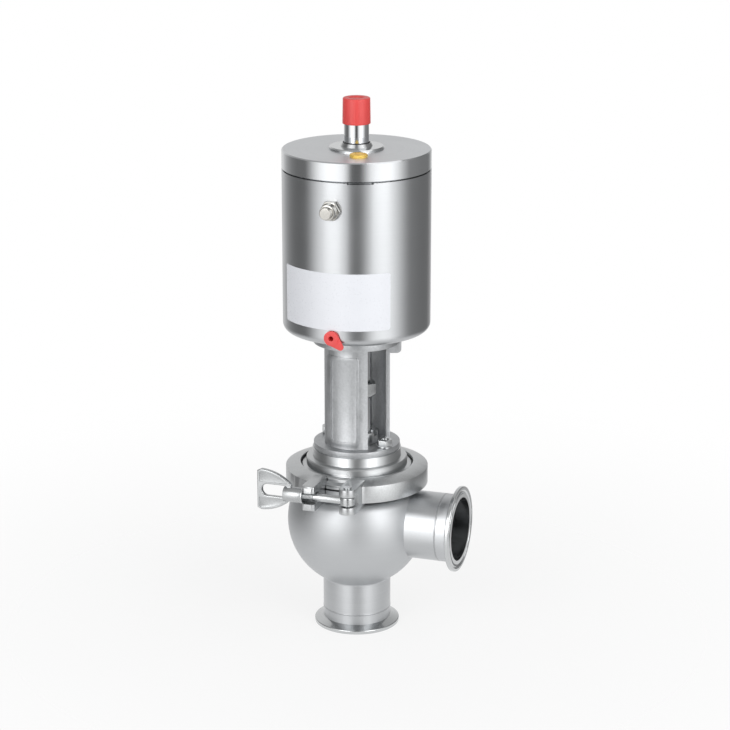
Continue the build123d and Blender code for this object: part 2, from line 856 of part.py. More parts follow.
# Bush and seal of the piston rod in the floor
with BuildPart() as rod_bush:
    tube(stem_bore_radius, gland_pocket_radius, rod_bush_z, rod_seal_z)
save(rod_bush, "rod_bush")

with BuildPart() as rod_seal:
    tube(stem_bore_radius, gland_pocket_radius, rod_seal_z, rod_seal_top_z)
save(rod_seal, "rod_seal")

# Top cover, its ring, retaining wire, rod guide, wiper and breather
cover_ring_z = cover_z - cover_ring_drop
cover_ring_radius = cylinder_bore_radius - cover_ring_section
breather_place = around(breather_azimuth, breather_circle_radius, cover_top_z)
with BuildPart() as top_cover:
    turn(
        (guide_spigot_radius + thread_fit, spring_top_z),
        (cover_recess_radius, spring_top_z),
        (cover_recess_radius, spigot_z),
        (cylinder_bore_radius - thread_fit, spigot_z),
        (cylinder_bore_radius - thread_fit, cover_z),
        (cylinder_radius, cover_z),
        (cylinder_radius, cover_top_z),
        (guide_spigot_radius + thread_fit, cover_top_z),
    )
    chamfer(
        top_cover.edges()
        .filter_by(GeomType.CIRCLE)
        .filter_by(lambda edge: abs(edge.radius - cylinder_radius) < 0.01),
        cover_edge,
    )
    round_groove(cover_ring_radius, cover_ring_z, cover_ring_section + running_fit)
    round_groove(cylinder_bore_radius, wire_z, wire_radius + loose_fit)
    with Locations(breather_place):
        Hole(cover_vent_radius + thread_fit, depth=cover_top_z - spring_top_z)
save(top_cover, "top_cover")

with BuildPart() as cover_o_ring:
    round_groove(
        cover_ring_radius - running_fit, cover_ring_z, cover_ring_section - running_fit, mode=Mode.ADD
    )
save(cover_o_ring, "cover_o_ring")

with BuildPart() as retaining_wire:
    with BuildSketch(upright_section(wire_slot_start)):
        with Locations((cylinder_bore_radius, wire_z)):
            Circle(wire_radius)
    revolve(axis=Axis.Z, revolution_arc=wire_arc)
save(retaining_wire, "retaining_wire")

with BuildPart() as rod_guide:
    turn(
        (rod_radius + running_fit, cover_top_z - guide_spigot_depth),
        (guide_spigot_radius, cover_top_z - guide_spigot_depth),
        (guide_spigot_radius, cover_top_z),
        (guide_disc_radius, cover_top_z),
        (guide_disc_radius, guide_top_z - cover_edge),
        (guide_disc_radius - cover_edge, guide_top_z),
        (guide_collar_radius, guide_top_z),
        (wiper_radius + guide_collar_lip, collar_top_z),
        (wiper_radius, collar_top_z),
        (wiper_radius, guide_top_z),
        (rod_radius + running_fit, guide_top_z),
    )
save(rod_guide, "rod_guide")

with BuildPart() as rod_wiper:
    turn(
        (rod_radius + running_fit, guide_top_z),
        (wiper_radius, guide_top_z),
        (wiper_radius, collar_top_z),
        (rod_radius + wiper_lip, wiper_top_z),
        (rod_radius + running_fit, wiper_top_z),
    )
save(rod_wiper, "rod_wiper")

with BuildPart() as breather_vent:
    with BuildSketch(Plane.XY.offset(cover_top_z)):
        with Locations(breather_place):
            Circle(breather_radius)
    extrude(amount=breather_height)
    fillet(breather_vent.edges().group_by(Axis.Z)[-1], breather_height / 3)
    with BuildSketch(Plane.XY.offset(cover_top_z)):
        with Locations(breather_place):
            Circle(cover_vent_radius)
    extrude(amount=-breather_spigot)
save(breather_vent, "breather_vent")

# Fitting of the upper port, on the cylinder's front
fitting_face = cylinder_radius - fitting_face_depth
with BuildPart() as upper_port_fitting:
    with BuildSketch(facing(0, cylinder_bore_radius + loose_fit, fitting_z)):
        Circle(fitting_thread_radius)
    extrude(amount=fitting_face - cylinder_bore_radius - loose_fit)
    with BuildSketch(facing(0, fitting_face, fitting_z)):
        RegularPolygon(fitting_hex_across_flats / 2, 6, major_radius=False)
    extrude(amount=fitting_hex_height)
    with BuildSketch(facing(0, fitting_face + fitting_hex_height, fitting_z)):
        Circle(fitting_barrel_radius)
    extrude(amount=fitting_barrel_length, taper=fitting_taper)
    with BuildSketch(facing(0, fitting_face + fitting_hex_height + fitting_barrel_length, fitting_z)):
        Circle(fitting_head_radius)
    extrude(amount=fitting_head_length)
    fillet(upper_port_fitting.edges().sort_by(Axis.Y)[0], fitting_edge)
    with BuildSketch(facing(0, cylinder_bore_radius, fitting_z)):
        Circle(fitting_bore_radius)
    extrude(amount=fitting_hex_height + fitting_barrel_length, mode=Mode.SUBTRACT)
save(upper_port_fitting, "upper_port_fitting")

# Dust plug of the air inlet, with its pull tab
plug_face = cylinder_radius - inlet_face_depth
tab_end = (pull_tab_length * cos(radians(pull_tab_angle)), pull_tab_length * sin(radians(pull_tab_angle)))
with BuildPart() as inlet_plug:
    with BuildSketch(facing(0, plug_face, inlet_z)):
        Circle(inlet_plug_radius)
    extrude(amount=inlet_plug_flange)
    with BuildSketch(facing(0, plug_face + inlet_plug_flange / 4, inlet_z)):
        Circle(inlet_plug_radius)
        with Locations(tab_end):
            Circle(pull_tab_end_radius)
        make_hull()
    extrude(amount=inlet_plug_flange / 2)
    with BuildSketch(facing(0, plug_face, inlet_z)):
        Circle(inlet_radius - running_fit)
    extrude(amount=-inlet_plug_depth)
    with BuildSketch(facing(0, plug_face + inlet_plug_flange, inlet_z)):
        Circle(inlet_plug_bore_radius)
    extrude(amount=-inlet_plug_depth, mode=Mode.SUBTRACT)
save(inlet_plug, "inlet_plug")

# Piston with seal and guide ring, its nut, rod and closing spring
piston_radius = cylinder_bore_radius - piston_gap
ring_root_radius = piston_radius - piston_ring_depth
with BuildPart() as piston:
    tube(rod_radius + thread_fit, piston_radius, piston_z, piston_top_z)
    for ring_z in (piston_seal_z, piston_guide_z):
        turn(
            (ring_root_radius, ring_z),
            (cylinder_radius, ring_z),
            (cylinder_radius, ring_z + piston_ring_height),
            (ring_root_radius, ring_z + piston_ring_height),
            mode=Mode.SUBTRACT,
        )
save(piston, "piston")

for ring_z, ring_name in ((piston_seal_z, "piston_seal"), (piston_guide_z, "piston_guide_ring")):
    with BuildPart() as piston_ring:
        tube(ring_root_radius, cylinder_bore_radius - running_fit, ring_z, ring_z + piston_ring_height)
    save(piston_ring, ring_name)

with BuildPart() as piston_nut:
    hexagon_nut(
        piston_nut_across_flats,
        rod_radius + thread_fit,
        piston_top_z,
        piston_top_z + piston_nut_height,
        piston_nut_cone,
        nut_cone,
    )
save(piston_nut, "piston_nut")

with BuildPart() as piston_rod:
    turn(
        (0, stem_top_z - rod_thread_depth),
        (rod_thread_radius, stem_top_z - rod_thread_depth),
        (rod_thread_radius, rod_shoulder_z),
        (stem_radius - stem_edge, rod_shoulder_z),
        (stem_radius, rod_shoulder_z + stem_edge),
        (stem_radius, piston_z),
        (rod_radius, piston_z),
        (rod_radius, rod_top_z),
        (0, rod_top_z),
    )
save(piston_rod, "piston_rod")

spring_low_z = piston_top_z + spring_wire_radius + running_fit
spring_high_z = spring_top_z - spring_wire_radius - running_fit
with BuildPart() as actuator_spring:
    with BuildLine(Plane.XY.offset(spring_low_z)) as coil:
        Helix((spring_high_z - spring_low_z) / spring_turns, spring_high_z - spring_low_z, spring_radius)
    with BuildSketch(Plane(coil.wire() @ 0, z_dir=coil.wire() % 0)):
        Circle(spring_wire_radius)
    sweep(is_frenet=True)
save(actuator_spring, "actuator_spring")

# Red protective cap on the piston rod's upper end
with BuildPart() as rod_cap:
    turn(
        (rod_radius + running_fit, cap_bottom_z),
        (cap_bottom_radius, cap_bottom_z),
        (cap_top_radius, cap_top_z),
        (cap_dish_radius, cap_top_z),
        (cap_dish_radius - cap_dish_depth, cap_top_z - cap_dish_depth),
        (0, cap_top_z - cap_dish_depth),
        (0, cap_top_z - cap_roof),
        (rod_radius + running_fit, cap_top_z - cap_roof),
    )
    fillet(
        rod_cap.edges()
        .filter_by(GeomType.CIRCLE)
        .filter_by(lambda edge: abs(edge.radius - cap_top_radius) < 0.01),
        cap_edge,
    )
save(rod_cap, "rod_cap")

# Clamp: section of the ring, with a 20 degree groove that draws the two flanges together
groove_radius = joint_radius + clamp_groove_gap
flange_half = gasket_thickness / 2 + joint_rim
groove_half = flange_half - clamp_groove_gap * ferrule_slope + seat_fit
lip_half = flange_half + (joint_radius - clamp_lip_radius) * ferrule_slope + seat_fit
lip_edge_radius = clamp_lip_radius + clamp_lip_land


def turn_both_ways(*corners, mode=Mode.ADD):
    """Turn an outline of (radius, height) corners that is mirrored about the joint's plane."""
    lower = [(radius, -height) for radius, height in reversed(corners)]
    turn(*[(radius, joint_z + height) for radius, height in [*corners, *lower]], mode=mode)


def clamp_ring():
    """The whole ring of the clamp, before its groove is cut and it is parted into halves."""
    turn_both_ways(
        (clamp_lip_radius, clamp_lip_half_height),
        (lip_edge_radius, clamp_lip_half_height),
        (clamp_radius, clamp_wall_half_height),
    )


def clamp_groove():
    """The groove round the inside, open towards the two flanges."""
    turn_both_ways((clamp_lip_radius, lip_half), (groove_radius, groove_half), mode=Mode.SUBTRACT)


def cut_to_half(side):
    """Leave the half of the ring on one side: -1 is the left half and 1 the right."""
    whole = 3 * clamp_radius
    for gap, towards in ((clamp_front_gap, -1), (clamp_back_gap, 1)):
        with Locations((side * (gap - whole / 2), towards * whole / 2, joint_z)):
            Box(whole, whole, whole, mode=Mode.SUBTRACT)


def slab(outline, half_height):
    """Raise a plan equally above and below the joint's plane."""
    extrude(outline.moved(Location((0, 0, joint_z - half_height))), amount=2 * half_height)


def upright_bore(x, y, radius, half_height):
    """Cut a round hole or pocket centred on the joint's plane."""
    with Locations((x, y, joint_z)):
        Cylinder(radius, 2 * half_height, mode=Mode.SUBTRACT)


ear_front_y = bolt_y - ear_depth
seat_arc_radius = pivot_x + left_ear_end
seat_corner_x = pivot_x - sqrt(seat_arc_radius**2 - ear_depth**2)
slot_root_y = bolt_y + bolt_radius + spigot_gap
pin_bore_radius = pin_radius + running_fit

# Swinging half, on the left: slotted ear in front and hinge tongue behind
with BuildSketch() as slotted_ear_plan:
    with BuildLine():
        ThreePointArc(
            (seat_corner_x, ear_front_y),
            (-left_ear_end, bolt_y),
            (seat_corner_x, bolt_y + ear_depth),
        )
        Polyline(
            (seat_corner_x, bolt_y + ear_depth),
            (seat_corner_x, ear_root_y),
            (-clamp_front_gap, ear_root_y),
            (-clamp_front_gap, ear_front_y),
            (seat_corner_x, ear_front_y),
        )
    make_face()
    fillet(slotted_ear_plan.vertices().group_by(Axis.Y)[0], ear_corner)
with BuildSketch() as tongue_plan:
    with BuildLine():
        Polyline(
            (-clamp_back_gap, -ear_root_y),
            (-clamp_back_gap, hinge_y - hinge_radius),
            (0, hinge_y - hinge_radius),
            (0, hinge_y + hinge_radius),
            (-hinge_radius, hinge_y + hinge_radius - tongue_taper),
            (-3 * hinge_radius, hinge_y - hinge_radius),
            (-3 * hinge_radius, -ear_root_y),
            close=True,
        )
    make_face()
    with Locations((0, hinge_y)):
        Circle(hinge_radius)
with BuildPart() as clamp_half_swinging:
    clamp_ring()
    cut_to_half(-1)
    slab(slotted_ear_plan.sketch, fork_half_height)
    slab(tongue_plan.sketch, tongue_half_height)
    clamp_groove()
    with Locations((-left_ear_end / 2, slot_root_y - 2 * ear_depth, joint_z)):
        Box(2 * left_ear_end, 4 * ear_depth, 2 * slot_half_height, mode=Mode.SUBTRACT)
    with BuildSketch(Plane.YZ.offset(-left_ear_end - overrun)) as bevel:
        for side in (-1, 1):
            with BuildLine():
                Polyline(
                    (ear_front_y - overrun, joint_z + side * (fork_half_height - ear_bevel - overrun)),
                    (ear_front_y - overrun, joint_z + side * (fork_half_height + overrun)),
                    (ear_front_y + ear_bevel + overrun, joint_z + side * (fork_half_height + overrun)),
                    close=True,
                )
            make_face()
    extrude(bevel.sketch, amount=left_ear_end, mode=Mode.SUBTRACT)
    upright_bore(0, hinge_y, pin_bore_radius, 2 * tongue_half_height)
save(clamp_half_swinging, "clamp_half_swinging")

# Fixed half, on the right: pivot ear of the eye bolt in front and hinge fork behind
with BuildSketch() as pivot_ear_plan:
    with Locations((pivot_x, bolt_y)):
        Circle(pivot_ear_radius)
    with Locations((pivot_x, (bolt_y + ear_root_y) / 2)):
        Rectangle(2 * pivot_ear_radius, ear_root_y - bolt_y)
eye_room = eye_radius + spigot_gap
with BuildPart() as clamp_half_fixed:
    clamp_ring()
    cut_to_half(1)
    slab(pivot_ear_plan.sketch, pivot_ear_half_height)
    slab(tongue_plan.sketch.mirror(Plane.YZ), fork_half_height)
    clamp_groove()
    with Locations((pivot_x, bolt_y - pivot_ear_radius + eye_room, joint_z)):
        Box(3 * pivot_ear_radius, 2 * pivot_ear_radius, 2 * fork_gap, mode=Mode.SUBTRACT)
    upright_bore(pivot_x, bolt_y, pin_bore_radius, pivot_ear_half_height + overrun)
    upright_bore(0, hinge_y, pin_bore_radius, fork_half_height)
    upright_bore(0, hinge_y, hinge_radius + hinge_gap, tongue_half_height + hinge_gap)
save(clamp_half_fixed, "clamp_half_fixed")


def headed_pin(x, y, half_height):
    """An upright pin with a flat head at each end."""
    with BuildSketch(Plane.XY.offset(joint_z - half_height)) as shank:
        with Locations((x, y)):
            Circle(pin_radius)
    extrude(shank.sketch, amount=2 * half_height)
    for side in (-1, 1):
        with BuildSketch(Plane.XY.offset(joint_z + side * half_height)) as head:
            with Locations((x, y)):
                Circle(pin_head_radius)
        extrude(head.sketch, amount=side * pin_head_height)


with BuildPart() as clamp_hinge_pin:
    headed_pin(0, hinge_y, fork_half_height)
save(clamp_hinge_pin, "clamp_hinge_pin")

with BuildPart() as bolt_pin:
    headed_pin(pivot_x, bolt_y, pivot_ear_half_height)
save(bolt_pin, "bolt_pin")

# Eye bolt, washer and wing nut
with BuildPart() as eye_bolt:
    with Locations((pivot_x, bolt_y, joint_z)):
        Cylinder(eye_radius, 2 * eye_half_height)
    fillet(eye_bolt.edges().filter_by(GeomType.CIRCLE), eye_half_height / 3)
    with BuildSketch(Plane.YZ.offset(pivot_x - bolt_end)):
        with Locations((bolt_y, joint_z)):
            Circle(bolt_radius)
    extrude(amount=bolt_end)
    chamfer(eye_bolt.edges().sort_by(Axis.X)[0], bolt_edge)
    with Locations((pivot_x, bolt_y, joint_z)):
        Cylinder(pin_bore_radius, 4 * eye_half_height, mode=Mode.SUBTRACT)
save(eye_bolt, "eye_bolt")

with BuildPart() as nut_washer:
    with BuildSketch(Plane.YZ.offset(nut_seat_x)):
        with Locations((bolt_y, joint_z)):
            Circle(nut_washer_radius)
            Circle(bolt_radius + running_fit, mode=Mode.SUBTRACT)
    extrude(amount=-nut_washer_thickness)
save(nut_washer, "nut_washer")

hub_x = nut_seat_x - nut_washer_thickness - running_fit
wing_end_x = hub_x - wing_reach
wing_half = wing_span / 2
wing_z = joint_z + wing_rise
slot_end_x = wing_end_x + wing_slot_margin
slot_length = wing_reach - wing_root - wing_slot_margin - wing_slot_setback


def wing_plane(distance):
    """An upright plane along the bolt, at a distance in front of its axis."""
    return Plane.XZ.offset(distance - bolt_y)


with BuildSketch(wing_plane(0)) as wing_outline:
    with BuildLine():
        for side in (1, -1):
            ThreePointArc(
                (hub_x - wing_root, wing_z + side * wing_hub_radius),
                (hub_x - wing_middle, wing_z + side * wing_middle_half),
                (wing_end_x + 2 * wing_corner, wing_z + side * wing_half),
            )
            Line(
                (wing_end_x + 2 * wing_corner, wing_z + side * wing_half),
                (wing_end_x, wing_z + side * (wing_half - wing_corner)),
            )
        Line(
            (hub_x - wing_root, wing_z + wing_hub_radius),
            (hub_x - wing_root, wing_z - wing_hub_radius),
        )
        Line(
            (wing_end_x, wing_z + wing_half - wing_corner),
            (wing_end_x, wing_z - wing_half + wing_corner),
        )
    make_face()
with BuildPart() as wing_nut:
    extrude(wing_outline.sketch, amount=wing_thickness / 2, both=True)
    with BuildSketch(wing_plane(0)):
        with Locations((slot_end_x + slot_length / 2, wing_z)):
            SlotOverall(slot_length, wing_slot_height)
    extrude(amount=wing_thickness, both=True, mode=Mode.SUBTRACT)
    fillet(wing_nut.edges().filter_by(lambda edge: abs((edge % 0.5).Y) < 0.1), wing_edge)
    for side in (-1, 1):
        with BuildSketch(wing_plane(side * (wing_thickness / 2 - wing_recess))):
            add(wing_outline.sketch_local)
            offset(amount=-wing_rim)
            with Locations((wing_end_x, wing_z)):
                Rectangle(2 * wing_reach, wing_slot_height + 2 * wing_rim, mode=Mode.SUBTRACT)
        extrude(amount=side * overrun, mode=Mode.SUBTRACT)
    with BuildSketch(Plane.YZ.offset(hub_x)):
        with Locations((bolt_y, joint_z)):
            Circle(wing_hub_radius)
    extrude(amount=-wing_hub_length)
    with BuildSketch(Plane.YZ.offset(hub_x)):
        with Locations((bolt_y, joint_z)):
            Circle(bolt_radius + running_fit)
    extrude(amount=-wing_hub_length, mode=Mode.SUBTRACT)
save(wing_nut, "wing_nut")
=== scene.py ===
"""Pneumatic angle seat valve: finishes, label, threads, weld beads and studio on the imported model."""

from math import atan2, cos, pi, radians, sin

import bpy
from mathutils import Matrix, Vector


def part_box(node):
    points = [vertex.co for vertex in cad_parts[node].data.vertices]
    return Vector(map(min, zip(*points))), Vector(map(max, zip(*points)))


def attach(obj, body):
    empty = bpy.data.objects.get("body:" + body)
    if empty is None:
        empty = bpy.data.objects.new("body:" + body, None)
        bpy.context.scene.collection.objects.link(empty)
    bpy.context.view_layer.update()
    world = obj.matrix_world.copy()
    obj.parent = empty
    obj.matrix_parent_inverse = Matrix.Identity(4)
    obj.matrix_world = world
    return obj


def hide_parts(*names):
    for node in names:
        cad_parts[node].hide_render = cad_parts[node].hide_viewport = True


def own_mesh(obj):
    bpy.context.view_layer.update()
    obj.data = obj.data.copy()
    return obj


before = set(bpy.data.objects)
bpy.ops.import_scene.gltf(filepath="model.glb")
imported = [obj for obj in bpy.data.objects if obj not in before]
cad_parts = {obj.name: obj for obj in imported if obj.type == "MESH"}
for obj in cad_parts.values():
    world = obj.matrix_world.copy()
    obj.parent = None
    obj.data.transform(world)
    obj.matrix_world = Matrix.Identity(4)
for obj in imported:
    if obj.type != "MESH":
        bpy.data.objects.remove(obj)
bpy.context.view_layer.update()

bl_info = {
    "name": "Angle seat valve",
    "version": (1, 0, 0),
    "blender": (4, 5, 0),
    "location": "3D View > Sidebar > Angle valve",
    "description": "Dresses a pneumatic angle seat valve in its steels, rubber and plastics, on a pale floor",
    "category": "Object",
}

MM = 0.001

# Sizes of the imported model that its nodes' boxes don't give
TUBE_RADIUS = 25.4 * MM
SIDE_TUBE_START = 50 * MM  # the ball ends here, along x
BOTTOM_TUBE_TOP = 33 * MM  # and here, along z
THREAD_RADIUS = 3.0 * MM
THREAD_START = -11.0 * MM  # where the eye bolt's plain shank ends, along x

# The photograph's frame: its width, and the camera's focal length in the same pixels
FRAME_PIXELS = 730
FOCAL_PIXELS = 2400
SENSOR = 36.0

# The light round the valve: degrees from the camera's side towards its right, and the level there
STUDIO_BANDS = (
    # The wall behind, down to the left flag
    (-180, 0.54), (-152, 0.54), (-134, 0.3), (-118, 0.18), (-104, 0.13), (-84, 0.12),
    # The left softbox
    (-76, 0.3), (-66, 0.62), (-56, 0.9), (-46, 1.0), (-30, 0.97), (-20, 0.85), (-14, 0.55),
    # The dark gap where the camera stands
    (-8, 0.1), (6, 0.09),
    # The right softbox
    (13, 0.36), (21, 0.75), (30, 0.92), (42, 1.0), (56, 1.0), (66, 0.75), (76, 0.45),
    # The right flag, and the wall behind again
    (88, 0.2), (118, 0.16), (146, 0.15), (157, 0.36), (168, 0.54), (180, 0.54),
)


def mid(node):
    """The middle of a node's box."""
    low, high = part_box(node)
    return (low + high) / 2


def linear(colour):
    """An sRGB hex value as the linear colour that Blender's sockets take."""
    parts = [int(colour[start : start + 2], 16) / 255 for start in (1, 3, 5)]
    return tuple(p / 12.92 if p <= 0.04045 else ((p + 0.055) / 1.055) ** 2.4 for p in parts) + (1.0,)


def grey(level):
    """A linear grey."""
    return (level, level, level, 1.0)


def darker(tint, share):
    """A colour with a share of its light taken away."""
    return tuple(part * (1.0 - share) for part in tint[:3]) + (1.0,)


# Sizes and colours that a user would change


class AngleValveSteel(bpy.types.PropertyGroup):
    cylinder_tint: bpy.props.FloatVectorProperty(
        name="Brushed cylinder",
        description="Reflection colour of the cylinder's brushed stainless steel",
        subtype="COLOR",
        size=4,
        default=linear("#BDBFC1"),
    )
    cast_tint: bpy.props.FloatVectorProperty(
        name="Cast steel",
        description="Reflection colour of the blasted investment castings",
        subtype="COLOR",
        size=4,
        default=linear("#C0C2C4"),
    )
    line_spacing: bpy.props.FloatProperty(
        name="Brush line",
        description="Width of one brush line on the cylinder",
        default=0.9 * MM,
        min=0.1 * MM,
        unit="LENGTH",
    )
    thread_pitch: bpy.props.FloatProperty(
        name="Thread pitch",
        description="Rise of the thread on the eye bolt and the studs",
        default=1.0 * MM,
        min=0.5 * MM,
        unit="LENGTH",
    )


class AngleValvePlastic(bpy.types.PropertyGroup):
    cap_red: bpy.props.FloatVectorProperty(
        name="Cap red",
        description="Colour of the soft cap and the dust plug",
        subtype="COLOR",
        size=4,
        default=linear("#DC4A48"),
    )


class AngleValveLabel(bpy.types.PropertyGroup):
    start: bpy.props.FloatProperty(
        name="Left end",
        description="Azimuth of the label's left end, from the front towards the side port",
        default=radians(-49.0),
        subtype="ANGLE",
    )
    end: bpy.props.FloatProperty(
        name="Right end",
        description="Azimuth of the label's right end",
        default=radians(45.5),
        subtype="ANGLE",
    )
    low: bpy.props.FloatProperty(
        name="Lower edge", description="Height of the lower edge", default=243.0 * MM, unit="LENGTH"
    )
    high: bpy.props.FloatProperty(
        name="Upper edge", description="Height of the upper edge", default=285.0 * MM, unit="LENGTH"
    )
    corner: bpy.props.FloatProperty(
        name="Corner", description="Radius of the label's corners", default=2.0 * MM, min=0.0, unit="LENGTH"
    )
    film: bpy.props.FloatProperty(
        name="Film", description="Thickness of the film", default=0.12 * MM, min=0.02 * MM, unit="LENGTH"
    )
    paper: bpy.props.FloatVectorProperty(
        name="Film colour",
        description="Colour of the bare film",
        subtype="COLOR",
        size=4,
        default=linear("#D9DBE0"),
    )


class AngleValveStudio(bpy.types.PropertyGroup):
    azimuth: bpy.props.FloatProperty(
        name="Camera azimuth",
        description="Where the camera stands round the valve, from the front towards the side port",
        default=radians(19.0),
        subtype="ANGLE",
    )
    pitch: bpy.props.FloatProperty(
        name="Camera pitch",
        description="How far the camera looks down",
        default=radians(16.52),
        subtype="ANGLE",
    )
    distance: bpy.props.FloatProperty(
        name="Camera distance",
        description="From the camera to the point it looks at",
        default=1.777,
        min=0.5,
        unit="LENGTH",
    )
    aim_height: bpy.props.FloatProperty(
        name="Aim height", description="Height of the point it looks at", default=0.2021, unit="LENGTH"
    )
    aim_side: bpy.props.FloatProperty(
        name="Aim side",
        description="How far the camera is moved to its own right",
        default=6.1 * MM,
        unit="LENGTH",
    )
    floor_tint: bpy.props.FloatVectorProperty(
        name="Floor",
        description="Colour of the plain floor",
        subtype="COLOR",
        size=4,
        default=linear("#ECECEC"),
    )


# Materials


def add(tree, kind, settings=None, **inputs):
    """Add a node with its settings; i0 is its first input, and an input is a value or a node's output."""
    node = tree.nodes.new(kind)
    for name, value in (settings or {}).items():
        setattr(node, name, value)
    for name, value in inputs.items():
        key = int(name[1:]) if name[0] == "i" and name[1:].isdigit() else name.replace("_", " ")
        if isinstance(value, bpy.types.NodeSocket):
            tree.links.new(value, node.inputs[key])
        else:
            node.inputs[key].default_value = value
    return node


def start_material(name, **shader_inputs):
    """A new material with a Principled shader; its name is the real material's and its finish's."""
    material = bpy.data.materials.new(name)
    material.use_nodes = True
    tree = material.node_tree
    tree.nodes.clear()
    shader = add(tree, "ShaderNodeBsdfPrincipled", **shader_inputs)
    add(tree, "ShaderNodeOutputMaterial", {"name": "Output"}, Surface=shader.outputs[0])
    place = add(tree, "ShaderNodeTexCoord").outputs["Object"]
    return material, tree, shader, place


def set_stops(node, stops):
    """Give a colour ramp its stops, each a position and a colour."""
    elements = node.color_ramp.elements
    while len(elements) < len(stops):
        elements.new(0.5)
    for element, (position, colour) in zip(elements, stops):
        element.position = position
        element.color = colour


def vary(tree, shader, colours, rough, relief):
    """Link a shader to its patterns: what shades its colour, wears its roughness and lifts its skin."""
    share, dark, tint = colours
    wear, least, most = rough
    height, strength, depth = relief
    colour = add(tree, "ShaderNodeMix", {"data_type": "RGBA"}, i0=share, i6=dark, i7=tuple(tint))
    # A noise pattern's values lie mostly between 0.3 and 0.7
    gloss = add(tree, "ShaderNodeMapRange", Value=wear, From_Min=0.3, From_Max=0.7, To_Min=least, To_Max=most)
    skin = add(tree, "ShaderNodeBump", Strength=strength, Distance=depth, Height=height)
    tree.links.new(colour.outputs[2], shader.inputs["Base Color"])
    tree.links.new(gloss.outputs["Result"], shader.inputs["Roughness"])
    tree.links.new(skin.outputs[0], shader.inputs["Normal"])


def turned_place(tree, place, centre, tilt):
    """Lathe coordinates round an axis: radius, height along the axis, and a slow drift round it."""
    moved = add(tree, "ShaderNodeVectorMath", {"operation": "SUBTRACT"}, i0=place, i1=centre).outputs[0]
    turned = add(tree, "ShaderNodeVectorRotate", {"rotation_type": "EULER_XYZ"}, Vector=moved, Rotation=tilt)
    parts = add(tree, "ShaderNodeSeparateXYZ", Vector=turned.outputs[0])
    flat = add(tree, "ShaderNodeCombineXYZ", X=parts.outputs[0], Y=parts.outputs[1])
    radius = add(tree, "ShaderNodeVectorMath", {"operation": "LENGTH"}, i0=flat.outputs[0]).outputs["Value"]
    # The drift is slow, so that a line runs far round before it fades
    drift = add(tree, "ShaderNodeMath", {"operation": "MULTIPLY"}, i0=parts.outputs[0], i1=0.02).outputs[0]
    return add(tree, "ShaderNodeCombineXYZ", X=radius, Y=parts.outputs[2], Z=drift).outputs[0]


def lathe_steel(name, tint, rough, line, depth, centre=(0, 0, 0), tilt=(0, 0, 0), haze=0.12, stretch=0.0):
    """Steel finished on a lathe or a belt: fine lines run round the axis, on rims and faces alike."""
    # Real lines are 0.05 to 0.2 mm apart, too fine to show here, so every line is drawn several times as wide
    material, tree, shader, place = start_material(name, Metallic=1.0)
    if stretch:
        # Lines that run round spread a reflection along the axis
        tangent = add(tree, "ShaderNodeTangent", {"direction_type": "RADIAL", "axis": "Z"})
        tree.links.new(tangent.outputs[0], shader.inputs["Tangent"])
        shader.inputs["Anisotropic"].default_value = stretch
        shader.inputs["Anisotropic Rotation"].default_value = 0.25
    lathe = turned_place(tree, place, centre, tilt)
    lines = add(tree, "ShaderNodeTexNoise", Vector=lathe, Scale=1.0 / line, Detail=3.0, Roughness=0.6)
    # Handling leaves patches of about 24 mm a little duller or brighter
    stain = add(tree, "ShaderNodeTexNoise", Vector=place, Scale=1.0 / (24 * MM), Detail=2.0)
    vary(
        tree,
        shader,
        (lines.outputs["Fac"], darker(tint, haze), tint),
        (stain.outputs["Fac"], rough * 0.95, rough * 1.05),
        (lines.outputs["Fac"], 0.25, depth),
    )
    return material


def cast_steel(name, tint, rough, grain, depth):
    """Investment-cast steel after blasting or tumbling: an even fine grain over a faint slow waviness."""
    # The real grain is 0.1 to 0.3 mm, too fine to show here, so it is drawn several times as wide
    material, tree, shader, place = start_material(name, Metallic=1.0)
    grit = add(tree, "ShaderNodeTexNoise", Vector=place, Scale=1.0 / grain, Detail=4.0, Roughness=0.65)
    # The wax pattern leaves waves of about 9 mm
    wave = add(tree, "ShaderNodeTexNoise", Vector=place, Scale=1.0 / (9 * MM), Detail=2.0)
    mixed = add(
        tree,
        "ShaderNodeMath",
        {"operation": "MULTIPLY_ADD"},
        i0=wave.outputs["Fac"],
        i1=0.5,
        i2=grit.outputs["Fac"],
    )
    # Grain and half the wave add up to between 0.45 and 1.05
    shade = add(tree, "ShaderNodeMapRange", Value=mixed.outputs[0], From_Min=0.45, From_Max=1.05)
    vary(
        tree,
        shader,
        (shade.outputs["Result"], darker(tint, 0.22), tint),
        (wave.outputs["Fac"], rough * 0.88, rough * 1.12),
        (mixed.outputs[0], 0.5, depth),
    )
    return material


def soft_material(name, tint, rough, grain, depth, haze=0.12):
    """Rubber or plastic from a mould: an even colour with slight clouding, and the mould's fine grain."""
    # The mould's real grain is about 0.1 mm, too fine to show here, so it is drawn several times as wide
    material, tree, shader, place = start_material(name, IOR=1.5, Metallic=0.0)
    grit = add(tree, "ShaderNodeTexNoise", Vector=place, Scale=1.0 / grain, Detail=3.0, Roughness=0.6)
    # The compound's clouds are about 7 mm
    cloud = add(tree, "ShaderNodeTexNoise", Vector=place, Scale=1.0 / (7 * MM), Detail=2.0)
    vary(
        tree,
        shader,
        (cloud.outputs["Fac"], darker(tint, haze), tint),
        (grit.outputs["Fac"], rough * 0.85, rough * 1.15),
        (grit.outputs["Fac"], 0.3, depth),
    )
    return material


